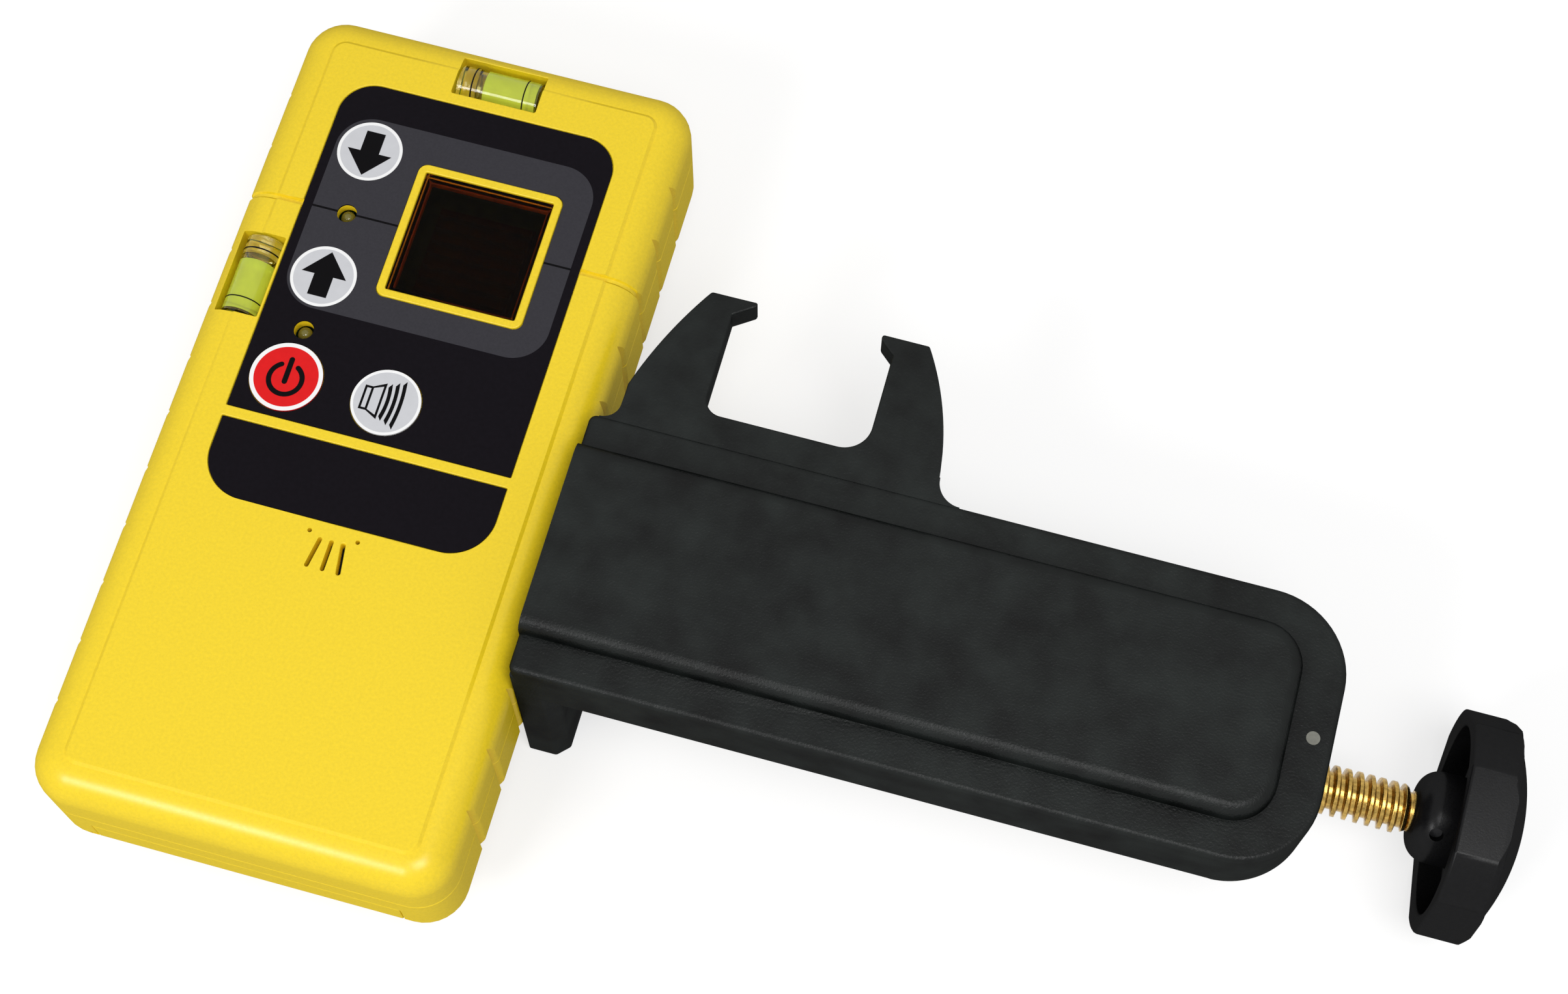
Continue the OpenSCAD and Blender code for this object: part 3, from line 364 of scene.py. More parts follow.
# Finish of each material, with its lengths in millimetres
FINISHES = {
    "case_yellow": dict(rough=0.3, spots=0.6, spot_share=0.05, grain=0.22, grain_depth=0.004, shine=0.045),
    "label_black": dict(rough=0.5, spots=0.8, spot_share=0.12, grain=0.15, grain_depth=0.002, gloss=0.05),
    "label_grey": dict(rough=0.5, spots=0.5, spot_share=0.06, grain=0.15, grain_depth=0.002, gloss=0.05),
    "disc_grey": dict(rough=0.4, spots=2, spot_share=0.02, grain=0.3, grain_depth=0.003, gloss=0.2),
    "print_white": dict(rough=0.45, spots=1, spot_share=0.02, grain=0.2, grain_depth=0.003, gloss=0.2),
    "print_black": dict(rough=0.45, spots=1, spot_share=0.1, grain=0.2, grain_depth=0.002, gloss=0.06),
    "power_red": dict(rough=0.4, spots=1.5, spot_share=0.04, grain=0.3, grain_depth=0.003, gloss=0.15),
    "clamp_black": dict(rough=0.37, spots=9, spot_share=0.75, grain=0.42, grain_depth=0.09, shine=0.018,
                        detail=9),
    "knob_black": dict(rough=0.3, spots=0.9, spot_share=0.15, grain=0.35, grain_depth=0.012, shine=0.014),
    "seal_grey": dict(rough=0.7, spots=0.5, spot_share=0.1, grain=0.2, grain_depth=0.01, gloss=0.3),
    "inner_black": dict(rough=0.5, spots=0.8, spot_share=0.1, grain=0.3, grain_depth=0.01, gloss=0.3),
    "board_green": dict(rough=0.35, spots=1.2, spot_share=0.15, grain=0.4, grain_depth=0.01, gloss=0.5),
    "battery_grey": dict(rough=0.35, spots=3, spot_share=0.08, grain=0.4, grain_depth=0.005, gloss=0.5),
    "brass": dict(rough=0.26, spots=0.9, spot_share=0.4, grain=0.25, grain_depth=0.012, gloss=0.5,
                  sockets={"Metallic": 1}),
    "steel": dict(rough=0.42, spots=0.8, spot_share=0.08, grain=0.2, grain_depth=0.004, gloss=0.5,
                  sockets={"Metallic": 1}),
    "lamp_olive": dict(rough=0.12, spots=0.8, spot_share=0.08, grain=0.5, grain_depth=0.002, gloss=0.3,
                       sockets={"Transmission Weight": 0.45, "IOR": 1.5}),
    "filter_amber": dict(rough=0.06, spots=2.5, spot_share=0.25, grain=0.9, grain_depth=0.001, gloss=0.3,
                         sockets={"Transmission Weight": 1, "IOR": 1.12}),
    # The liquid's emission strength is a painted glow: the liquid lights itself in its own colour, though it
    # is no lamp
    "vial_green": dict(rough=0.05, spots=3, spot_share=0.06, grain=0.9, grain_depth=0.0005, gloss=0.5,
                       sockets={"Transmission Weight": 0.52, "IOR": 1.36, "Emission Strength": 0.05}),
    "vial_clear": dict(rough=0.05, spots=2, spot_share=0.03, grain=0.9, grain_depth=0.0005, gloss=0.5,
                       sockets={"Transmission Weight": 1, "IOR": 1.4}),
}

# Solids that are shown as they are, by their finish
KEPT_SOLIDS = {
    "label_black": ("upper_label", "lower_label"),
    "filter_amber": ("window_filter",),
    "lamp_olive": ("grade_led", "power_led", "arrow_leds"),
    "disc_grey": ("down_arrow_lens", "up_arrow_lens"),
    "inner_black": ("tact_switches", "photodiode_strip", "buzzer", "knob_grub_screw"),
    "board_green": ("circuit_board",),
    "battery_grey": ("battery",),
    "brass": ("bracket_inserts", "screw_nut"),
    "steel": ("case_screws", "battery_contacts", "bracket_screws", "nut_pin", "jaw_retainer"),
}


def feed(tree, socket, value):
    """Links a socket to another node's output, or sets it to a value."""
    if isinstance(value, bpy.types.NodeSocket):
        tree.links.new(value, socket)
    else:
        socket.default_value = value


def add_node(tree, kind, sockets=(), **properties):
    """New node with its properties set, and with its sockets fed by name or by place."""
    made = tree.nodes.new(kind)
    for key, value in properties.items():
        setattr(made, key, value)
    for key, value in dict(sockets).items():
        feed(tree, made.inputs[key], value)
    return made


def sums(tree, operation, *values):
    """Result of a math node on numbers or other nodes' outputs."""
    return add_node(tree, "ShaderNodeMath", enumerate(values), operation=operation).outputs[0]


def noise(tree, place, size, detail):
    """Noise whose spots have about the given size in metres."""
    sockets = {"Scale": 1 / size, "Detail": detail, "Vector": place}
    return add_node(tree, "ShaderNodeTexNoise", sockets).outputs["Fac"]


def between(tree, factor, low, high):
    """Value that runs from low to high with a factor around one half."""
    sockets = {"Value": factor, "From Min": NOISE_LOW, "From Max": NOISE_HIGH, "To Min": low, "To Max": high}
    return add_node(tree, "ShaderNodeMapRange", sockets).outputs["Result"]


def colour_between(tree, factor, low, high):
    """Colour that runs from low to high with a factor around one half."""
    made = add_node(tree, "ShaderNodeValToRGB", {"Fac": factor})
    for end, place, colour in zip(made.color_ramp.elements, (NOISE_LOW, NOISE_HIGH), (low, high)):
        end.position = place
        end.color = (*colour, 1)
    return made.outputs["Color"]


def tint(colour, share):
    """Colour made lighter or darker by a share."""
    return [min(1, part * (1 + share)) for part in colour]


def look(name):
    """Material that was mixed under a name."""
    return bpy.data.materials[LOOK_PREFIX + name]


def finish(name, colour, rough, spots, spot_share, grain, grain_depth, gloss=0, shine=0, detail=3,
           sockets=()):
    """Mixes a mottled colour, an uneven gloss and a fine grain, with an even shine where one is given. The
    colour also feeds the emission, which is a painted glow wherever a socket gives it strength.
    """
    material = bpy.data.materials.new(LOOK_PREFIX + name)
    material.use_nodes = True
    tree = material.node_tree
    place = add_node(tree, "ShaderNodeTexCoord").outputs["Object"]
    mottle = noise(tree, place, spots * MM, detail)
    fine = noise(tree, place, grain * MM, GRAIN_DETAIL)
    uneven = between(tree, fine, rough * (1 - GLOSS_SWING_SHARE), rough * (1 + GLOSS_SWING_SHARE))
    bump = add_node(tree, "ShaderNodeBump", {"Strength": 1, "Distance": grain_depth * MM, "Height": fine})
    surface = {"Roughness": uneven, "Normal": bump.outputs["Normal"]}
    body = tree.nodes["Principled BSDF"]
    values = {
        "Base Color": colour_between(tree, mottle, tint(colour, -spot_share), tint(colour, spot_share)),
        # The emission colour is the base colour; it shows as a painted glow only where a socket sets an
        # emission strength
        "Emission Color": (*colour, 1), "Specular IOR Level": gloss, **surface, **dict(sockets),
    }
    for key, value in values.items():
        feed(tree, body.inputs[key], value)
    if shine:
        shiny = add_node(tree, "ShaderNodeBsdfGlossy", surface)
        both = add_node(tree, "ShaderNodeMixShader", {0: shine, 1: body.outputs[0], 2: shiny.outputs[0]})
        feed(tree, tree.nodes["Material Output"].inputs["Surface"], both.outputs[0])


def link(name, data):
    """New object with its data, in the scene's own collection."""
    piece = bpy.data.objects.new(name, data)
    bpy.context.scene.collection.objects.link(piece)
    return piece


def hand_over(piece, body, slot, name, *nodes):
    """Gives a piece its finish and its body, and hides the nodes that it stands for. The slot is not used."""
    piece.data.materials.clear()
    piece.data.materials.append(look(name))
    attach(piece, body)
    if nodes:
        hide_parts(*nodes)


def welded(node):
    """Mesh of a node's copy with its loose triangles welded and its flat faces joined."""
    shape = bmesh.new()
    shape.from_mesh(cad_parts[node].data)
    bmesh.ops.remove_doubles(shape, verts=shape.verts, dist=WELD)
    bmesh.ops.dissolve_limit(shape, angle_limit=FLAT_ANGLE, verts=shape.verts, edges=shape.edges)
    return shape


def mesh_from(shape, name):
    """Plain mesh of a shape, without the normals that came with the solid."""
    mesh = bpy.data.meshes.new(name)
    for layer in list(shape.loops.layers.float_vector):
        shape.loops.layers.float_vector.remove(layer)
    shape.to_mesh(mesh)
    shape.free()
    if "custom_normal" in mesh.attributes:
        mesh.attributes.remove(mesh.attributes["custom_normal"])
    return mesh


def soften(piece, width):
    """Rounds a piece's weighted edges and shades the rest smooth."""
    for face in piece.data.polygons:
        face.use_smooth = True
    bevel = piece.modifiers.new("Edges", "BEVEL")
    bevel.width = width
    bevel.segments = ROUND_STEPS
    bevel.limit_method = "WEIGHT"
    bevel.use_clamp_overlap = False
    bevel.miter_outer = "MITER_ARC"
    normals = piece.modifiers.new("Normals", "WEIGHTED_NORMAL")
    normals.keep_sharp = True
    normals.weight = FLAT_WEIGHT


def turn_between(edge, other, vert):
    """Turn from one edge into another at the corner that they share."""
    ahead = edge.other_vert(vert).co - vert.co
    aside = other.other_vert(vert).co - vert.co
    return math.pi - ahead.angle(aside)


def depth(edge, face):
    """Distance from an edge's middle to the next edge ahead of it on a face."""
    first, last = (vert.co for vert in edge.verts)
    spot = (first + last) / 2
    inward = face.normal.cross(last - first).normalized()
    corner = next(loop for loop in edge.link_loops if loop.face is face)
    if corner.vert is not edge.verts[0]:
        inward = -inward
    nearest = math.inf
    for other in face.edges:
        start, end = (vert.co for vert in other.verts)
        run = end - start
        share = min(1, max(0, (spot - start).dot(run) / run.length_squared))
        way = start + share * run - spot
        if other is not edge and way.dot(inward) > AHEAD_SHARE * way.length:
            nearest = min(nearest, way.length)
    return nearest


def room(edge, sharp):
    """Largest rounding that an edge has space for on both of its faces."""
    space = math.inf
    for face in edge.link_faces:
        space = min(space, depth(edge, face))
        for vert in edge.verts:
            other = next(near for near in vert.link_edges if near is not edge and face in near.link_faces)
            turn = turn_between(edge, other, vert)
            if other not in sharp:
                space = min(space, other.calc_length() * math.sin(turn))
            elif turn > CORNER_TURN:
                shorter = min(edge.calc_length(), other.calc_length())
                space = min(space, shorter / math.tan(turn / 2))
    return ROOM_SHARE * space


def sharp_edges(shape):
    """Edges between two faces that meet at a clear angle, in the shape's own order."""
    return dict.fromkeys(edge for edge in shape.edges
                         if len(edge.link_faces) == 2 and edge.calc_face_angle() > EDGE_ANGLE)


def chains(sharp):
    """Groups of sharp edges that bend gently from one into the next."""
    left = dict(sharp)
    while left:
        chain = [left.popitem()[0]]
        for edge in chain:
            for vert in edge.verts:
                for other in vert.link_edges:
                    if other in left and STRAIGHT_TURN < turn_between(edge, other, vert) < CORNER_TURN:
                        del left[other]
                        chain.append(other)
        yield chain


def edge_weights(shape, full, wanted):
    """Sets how much of the full rounding each chain of sharp edges gets."""
    layer = shape.edges.layers.float.new("bevel_weight_edge")
    for edge in sharp_edges(shape):
        if edge.calc_length() > LONG_EDGE * full:
            bmesh.utils.edge_split(edge, edge.verts[0], 1 / 2)
    sharp = sharp_edges(shape)
    for chain in chains(sharp):
        width = min(min(wanted(edge), room(edge, sharp)) for edge in chain)
        for edge in chain:
            edge[layer] = width / full if width > LEAST_ROUNDING else 0
            edge.smooth = width > LEAST_ROUNDING


def bulge(edge, sharp):
    """Way from an edge's middle to the arc that its chain follows, or nothing off arcs."""
    turns = []
    outward = Vector()
    for vert in edge.verts:
        for other in vert.link_edges:
            turn = turn_between(edge, other, vert) if other in sharp and other is not edge else 0
            if STRAIGHT_TURN < turn < CORNER_TURN:
                if edge.calc_length() > LONGER_STEP * other.calc_length():
                    return None
                if other.calc_length() > LONGER_STEP * edge.calc_length():
                    continue
                turns.append(turn)
                behind = (vert.co - other.other_vert(vert).co).normalized()
                outward += behind - (edge.other_vert(vert).co - vert.co).normalized()
    if not turns or max(turns) > STEP_TURN:
        return None
    run = edge.verts[1].co - edge.verts[0].co
    outward -= outward.project(run)
    return outward.normalized() * run.length / 2 * math.tan(max(turns) / 4)


def halve(shape, ways):
    """Halves edges, moves each new middle by its way and joins middles across four-sided faces."""
    middles = {}
    for edge, way in ways.items():
        middles[bmesh.utils.edge_split(edge, edge.verts[0], 1 / 2)[1]] = way
    for vert, way in middles.items():
        vert.co += way
    for face in list(shape.faces):
        pair = [vert for vert in face.verts if vert in middles]
        if len(pair) == 2 and len(face.verts) == 6:
            bmesh.utils.face_split(face, *pair)


def round_out(shape):
    """Halves the steps of arcs along sharp edges."""
    sharp = sharp_edges(shape)
    ways = {edge: bulge(edge, sharp) for edge in sharp}
    halve(shape, {edge: way for edge, way in ways.items() if way is not None})


def round_corner(shape, hub, radius, side):
    """Halves the steps of an upright round corner that looks to +X and to one side in Y."""
    ways = {}
    for edge in shape.edges:
        first, last = (vert.co.xy - hub for vert in edge.verts)
        within = min(first.x, last.x, side * first.y, side * last.y) > -NEAR
        outer = radius / 2 < min(first.length, last.length) and first.length < radius + NEAR
        flat = abs(edge.verts[0].co.z - edge.verts[1].co.z) < NEAR
        if within and outer and flat and abs(first.length - last.length) < NEAR:
            turn = first.angle(last)
            if STRAIGHT_TURN < turn < STEP_TURN:
                way = (first + last) / 2 * (1 / math.cos(turn / 2) - 1)
                ways[edge] = Vector((*way, 0))
    halve(shape, ways)


def draw_in(shape, low, high, radius, above, by):
    """Moves the points on a rounded rectangle's outline, above a level, towards its middle."""
    for vert in shape.verts:
        core = Vector((min(max(vert.co.x, low.x + radius), high.x - radius),
                       min(max(vert.co.y, low.y + radius), high.y - radius)))
        away = vert.co.xy - core
        if vert.co.z > above and abs(away.length - radius) < NEAR:
            vert.co.xy -= by * away.normalized()


def dress(node, body, slot, name, full, wanted=None, change=None):
    """Stands a copy with rounded edges in for a node, after a change to the copy's points."""
    shape = welded(node)
    if change:
        change(shape)
        shape.normal_update()
    round_out(shape)
    shape.normal_update()
    edge_weights(shape, full, wanted or (lambda edge: full))
    piece = link(node + "_form", mesh_from(shape, node + "_form"))
    soften(piece, full)
    hand_over(piece, body, slot, name, node)


def polar(centre, radius, angle):
    """Point at a distance and an angle from a centre."""
    return centre[0] + radius * math.cos(angle), centre[1] + radius * math.sin(angle)


def arc(centre, radius, start, end, steps=ARC_STEPS):
    """Points of an arc from one angle to another, in radians."""
    turn = (end - start) / steps
    return [polar(centre, radius, start + i * turn) for i in range(steps + 1)]


def circle(centre, radius):
    """Points of a circle."""
    return arc(centre, radius, 0, 2 * math.pi, CIRCLE_STEPS)[:-1]


def rounded_box(left, low, right, high, radius):
    """Points of a rectangle with round corners."""
    quarter = math.pi / 2
    corners = [(right - radius, high - radius), (left + radius, high - radius),
               (left + radius, low + radius), (right - radius, low + radius)]
    return [point for i, corner in enumerate(corners)
            for point in arc(corner, radius, i * quarter, (i + 1) * quarter)]


def bow(start, crown, end):
    """Points of the arc through three points."""
    (ax, ay), (bx, by), (cx, cy) = start, crown, end
    a, b, c = (x * x + y * y for x, y in (start, crown, end))
    scale = 2 * (ax * (by - cy) + bx * (cy - ay) + cx * (ay - by))
    hub = ((a * (by - cy) + b * (cy - ay) + c * (ay - by)) / scale,
           (a * (cx - bx) + b * (ax - cx) + c * (bx - ax)) / scale)
    first, last = (math.atan2(y - hub[1], x - hub[0]) for x, y in (start, end))
    return arc(hub, math.dist(hub, start), first, last)


def mirrored(points):
    """Closed outline from the points of its upper half, with the X axis as its middle line."""
    return points + [(x, -y) for x, y in reversed(points)]


def baked(holder, name):
    """Plain mesh of what an object shows, which is then removed."""
    bpy.context.view_layer.update()
    graph = bpy.context.evaluated_depsgraph_get()
    mesh = bpy.data.meshes.new_from_object(holder.evaluated_get(graph))
    mesh.name = name
    bpy.data.objects.remove(holder)
    return mesh


def put_print(name, loops, low, ink, body, colour):
    """Thin print between closed loops, where a loop inside another is a hole."""
    outline = bpy.data.curves.new(name, "CURVE")
    outline.dimensions = "2D"
    outline.fill_mode = "BOTH"
    outline.extrude = ink / 2
    for loop in loops:
        spline = outline.splines.new("POLY")
        spline.points.add(len(loop) - 1)
        for point, (x, y) in zip(spline.points, loop):
            point.co = (x, y, 0, 1)
        spline.use_cyclic_u = True
    mesh = baked(link(name + "_outline", outline), name)
    mesh.transform(Matrix.Translation((0, 0, low + ink / 2)))
    bpy.data.curves.remove(outline)
    hand_over(link(name, mesh), body, "label_print", colour)


def put_ring(node, width, ink, body):
    """White ring along the rim of a round node's face."""
    spot = middle(node)
    radius = span(node).x / 2
    loops = [circle(spot, radius), circle(spot, radius - width)]
    put_print(node + "_ring", loops, level(node), ink, body, "print_white")


def lathe(name, profile, place):
    """Closed smooth piece of a profile of (along, radius) points turned about an axis along X."""
    shape = bmesh.new()
    rows = []
    for along, radius in profile:
        ring = arc((0, 0), radius, 0, 2 * math.pi, LATHE_STEPS)[:-1]
        rows.append([shape.verts.new((along, y, z)) for y, z in (ring if radius else ring[:1])])
    for first, second in zip(rows, rows[1:]):
        for i in range(LATHE_STEPS):
            j = (i + 1) % LATHE_STEPS
            corners = [first[i % len(first)], first[j % len(first)], second[j % len(second)],
                       second[i % len(second)]]
            shape.faces.new(list(dict.fromkeys(corners)))
    bmesh.ops.recalc_face_normals(shape, faces=shape.faces)
    mesh = mesh_from(shape, name)
    mesh.transform(place)
    for face in mesh.polygons:
        face.use_smooth = True
    mesh.set_sharp_from_angle(angle=EDGE_ANGLE)
    return link(name, mesh)


def new_tree(name, numbers, counts):
    """Geometry tree with named inputs, the inputs' identifiers and the outputs that give their values."""
    tree = bpy.data.node_groups.new(name, "GeometryNodeTree")
    kinds = dict.fromkeys(numbers, "NodeSocketFloat")
    kinds.update(dict.fromkeys(counts, "NodeSocketInt"))
    kinds["Finish"] = "NodeSocketMaterial"
    names = {}
    for key, kind in kinds.items():
        names[key] = tree.interface.new_socket(key, in_out="INPUT", socket_type=kind).identifier
    tree.interface.new_socket("Geometry", in_out="OUTPUT", socket_type="NodeSocketGeometry")
    return tree, names, add_node(tree, "NodeGroupInput").outputs


def end_tree(tree, geometry, finish_socket):
    """Ends a geometry tree with real faces, smooth shading and a material."""
    real = add_node(tree, "GeometryNodeRealizeInstances", {0: geometry})
    smooth = add_node(tree, "GeometryNodeSetShadeSmooth", {"Geometry": real.outputs[0]})
    sockets = {"Geometry": smooth.outputs[0], "Material": finish_socket}
    painted = add_node(tree, "GeometryNodeSetMaterial", sockets)
    add_node(tree, "NodeGroupOutput", {0: painted.outputs[0]})


def thread_tree():
    """Geometry tree of a screw thread along X with run-outs and closed ends."""
    numbers = ("Start", "Length", "Pitch", "Phase", "Crest", "Root", "Axis Y", "Axis Z")
    tree, names, given = new_tree("Thread", numbers, ("Around", "Along"))
    sockets = {"Size X": 1, "Size Y": 1, "Vertices X": given["Along"], "Vertices Y": given["Around"]}
    grid = add_node(tree, "GeometryNodeMeshGrid", sockets)
    position = add_node(tree, "GeometryNodeInputPosition").outputs[0]
    place = add_node(tree, "ShaderNodeSeparateXYZ", {0: position}).outputs
    along = sums(tree, "MULTIPLY", sums(tree, "ADD", place["X"], GRID_HALF), given["Length"])
    turn = sums(tree, "ADD", place["Y"], GRID_HALF)
    passed = sums(tree, "ADD", sums(tree, "DIVIDE", along, given["Pitch"]), given["Phase"])
    wave = sums(tree, "PINGPONG", sums(tree, "SUBTRACT", passed, turn), HALF_TURN_SHARE)
    sockets = {"Value": wave, "From Min": FLANK_ROOT_SHARE, "From Max": FLANK_CREST_SHARE}
    flank = add_node(tree, "ShaderNodeMapRange", sockets).outputs["Result"]
    to_end = sums(tree, "MINIMUM", along, sums(tree, "SUBTRACT", given["Length"], along))
    runout = sums(tree, "MINIMUM", sums(tree, "DIVIDE", to_end, given["Pitch"]), 1)
    height = sums(tree, "MULTIPLY", flank, sums(tree, "SUBTRACT", given["Crest"], given["Root"]))
    radius = sums(tree, "ADD", given["Root"], sums(tree, "MULTIPLY", height, runout))
    radius = sums(tree, "MULTIPLY", radius, sums(tree, "GREATER_THAN", to_end, THREAD_END))
    angle = sums(tree, "MULTIPLY", turn, 2 * math.pi)
    spot = {"X": sums(tree, "ADD", given["Start"], along)}
    for axis, wave_kind in (("Y", "COSINE"), ("Z", "SINE")):
        offset = sums(tree, "MULTIPLY", radius, sums(tree, wave_kind, angle))
        spot[axis] = sums(tree, "ADD", offset, given["Axis " + axis])
    spot = add_node(tree, "ShaderNodeCombineXYZ", spot).outputs[0]
    sockets = {"Geometry": grid.outputs["Mesh"], "Position": spot}
    moved = add_node(tree, "GeometryNodeSetPosition", sockets)
    sockets = {"Geometry": moved.outputs[0], "Distance": THREAD_WELD}
    merged = add_node(tree, "GeometryNodeMergeByDistance", sockets)
    end_tree(tree, merged.outputs[0], given["Finish"])
    return tree, names


def ring_tree():
    """Geometry tree of a row of wire rings about an axis along X."""
    tree, names, given = new_tree("Ring row", ("First", "Step", "Radius", "Wire"), ("Count",))
    first = add_node(tree, "ShaderNodeCombineXYZ", {"X": given["First"]}).outputs[0]
    step = add_node(tree, "ShaderNodeCombineXYZ", {"X": given["Step"]}).outputs[0]
    sockets = {"Count": given["Count"], "Start Location": first, "Offset": step}
    row = add_node(tree, "GeometryNodeMeshLine", sockets)
    circles = []
    for key, steps in (("Radius", RING_STEPS), ("Wire", WIRE_STEPS)):
        sockets = {"Resolution": steps, "Radius": given[key]}
        circles.append(add_node(tree, "GeometryNodeCurvePrimitiveCircle", sockets).outputs[0])
    sockets = {"Curve": circles[0], "Profile Curve": circles[1]}
    ring = add_node(tree, "GeometryNodeCurveToMesh", sockets)
    sockets = {"Points": row.outputs[0], "Instance": ring.outputs[0], "Rotation": (0, math.pi / 2, 0)}
    placed = add_node(tree, "GeometryNodeInstanceOnPoints", sockets)
    end_tree(tree, placed.outputs[0], given["Finish"])
    return tree, names


def grown(name, tree, names, values):
    """Plain mesh object made by a geometry tree, with its inputs set by their identifiers."""
    holder = link(name, bpy.data.meshes.new(name + "_seed"))
    modifier = holder.modifiers.new("Nodes", "NODES")
    modifier.node_group = tree
    for key, value in values.items():
        modifier[names[key]] = value
    return link(name, baked(holder, name))


class ReceiverOperator:
    """Shared by all operators of the receiver"""

    bl_options = {"REGISTER", "UNDO"}


class RECEIVER_OT_mix_finishes(ReceiverOperator, bpy.types.Operator):
    """Mixes the materials of all plastics, prints, metals and clear pieces"""

    bl_idname = "receiver.mix_finishes"
    bl_label = "Mix finishes"

    def execute(self, context):
        for name, values in FINISHES.items():
            finish(name, getattr(context.scene.receiver_colours, name), **values)
        return {"FINISHED"}


class RECEIVER_OT_dress_case(ReceiverOperator, bpy.types.Operator):
    """Slopes the panel's border and rounds the moulded edges of both shells and the battery door"""

    bl_idname = "receiver.dress_case"
    bl_label = "Dress case"

    def execute(self, context):
        edges = context.scene.receiver_edges
        low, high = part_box("front_shell")

        def wanted(edge):
            """Full rounding beside the grip grooves, none on slopes and a small one elsewhere."""
            if edge.calc_face_angle() < SHALLOW_ANGLE:
                return 0
            first, last = (vert.co for vert in edge.verts)
            steep = abs(first.z - last.z) > STEEP_SHARE * (first - last).length
            outside = min(abs(first.x), abs(last.x)) > high.x - edges.groove_reach
            return edges.groove if steep and outside and edge.is_convex else edges.case

        def slopes(shape):
            """Slope around the raised panel and slopes beside the grade groove."""
            margin = Vector((edges.panel_margin, edges.panel_margin, 0))
            border = level("upper_label")
            draw_in(shape, low + margin, high - margin, edges.panel_round, border, edges.panel_slope)
            for vert in shape.verts:
                beside = max(abs(face.calc_center_median().y) for face in vert.link_faces)
                if abs(abs(vert.co.y) - edges.grade_half) < NEAR and beside > 2 * edges.grade_half:
                    vert.co.y += math.copysign(edges.grade_slope, vert.co.y)

        for node, body, change in (("front_shell", "receiver", slopes), ("rear_shell", "receiver", None),
                                   ("battery_door", "battery_door", None)):
            dress(node, body, "case_yellow", "case_yellow", edges.groove, wanted, change)
        return {"FINISHED"}


class RECEIVER_OT_seat_gasket(ReceiverOperator, bpy.types.Operator):
    """Sets the gasket back in the seam, behind the grip grooves"""

    bl_idname = "receiver.seat_gasket"
    bl_label = "Seat gasket"

    def execute(self, context):
        edges = context.scene.receiver_edges
        shape = welded("case_gasket")
        draw_in(shape, *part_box("case_gasket"), edges.seal_round, 0, edges.seal_inset)
        piece = link("case_gasket_ring", mesh_from(shape, "case_gasket_ring"))
        hand_over(piece, "receiver", "seal_rubber", "seal_grey", "case_gasket")
        return {"FINISHED"}


class RECEIVER_OT_print_field(ReceiverOperator, bpy.types.Operator):
    """Prints the grey field with its grade line on the upper label"""

    bl_idname = "receiver.print_field"
    bl_label = "Print field"

    def execute(self, context):
        size = context.scene.receiver_prints
        ground = level("upper_label")
        lens_hole = span("up_arrow_lens").x / 2
        lamp = middle("grade_led")
        lamp_hole = span("grade_led").x / 2
        rim = size.window_rim
        low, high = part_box("window_filter")
        window = rounded_box(low.x - rim, low.y - rim, high.x + rim, high.y + rim, rim)
        holes = [circle(middle(node), lens_hole) for node in ("down_arrow_lens", "up_arrow_lens")]
        outline = rounded_box(size.field_left, size.field_low, size.field_right, size.field_high,
                              size.field_round)
        loops = [outline, *holes, window, circle(lamp, lamp_hole)]
        put_print("label_field", loops, ground, size.ink, "receiver", "label_grey")
        half = size.line / 2
        stretches = [
            (size.field_left, lamp.x - lamp_hole),
            (lamp.x + lamp_hole, low.x - rim),
            (high.x + rim, size.field_right),
        ]
        loops = [[(a, -half), (b, -half), (b, half), (a, half)] for a, b in stretches]
        put_print("label_grade_line", loops, ground + size.ink, size.ink, "receiver", "print_black")
        return {"FINISHED"}


class RECEIVER_OT_print_arrows(ReceiverOperator, bpy.types.Operator):
    """Prints a ring and an arrow on each arrow lens"""

    bl_idname = "receiver.print_arrows"
    bl_label = "Print arrows"

    def execute(self, context):
        size = context.scene.receiver_prints
        for node, way in (("down_arrow_lens", -1), ("up_arrow_lens", 1)):
            spot = middle(node)
            put_ring(node, size.ring, size.ink, "receiver")
            shape = [(-size.arrow_shaft, -size.arrow_tail), (size.arrow_shaft, -size.arrow_tail),
                     (size.arrow_shaft, size.arrow_neck), (size.arrow_head, size.arrow_neck),
                     (0, size.arrow_tip), (-size.arrow_head, size.arrow_neck),
                     (-size.arrow_shaft, size.arrow_neck)]
            loop = [(spot.x + x, spot.y + way * y) for x, y in shape]
            put_print(node + "_arrow", [loop], level(node), size.ink, "receiver", "print_black")
        return {"FINISHED"}


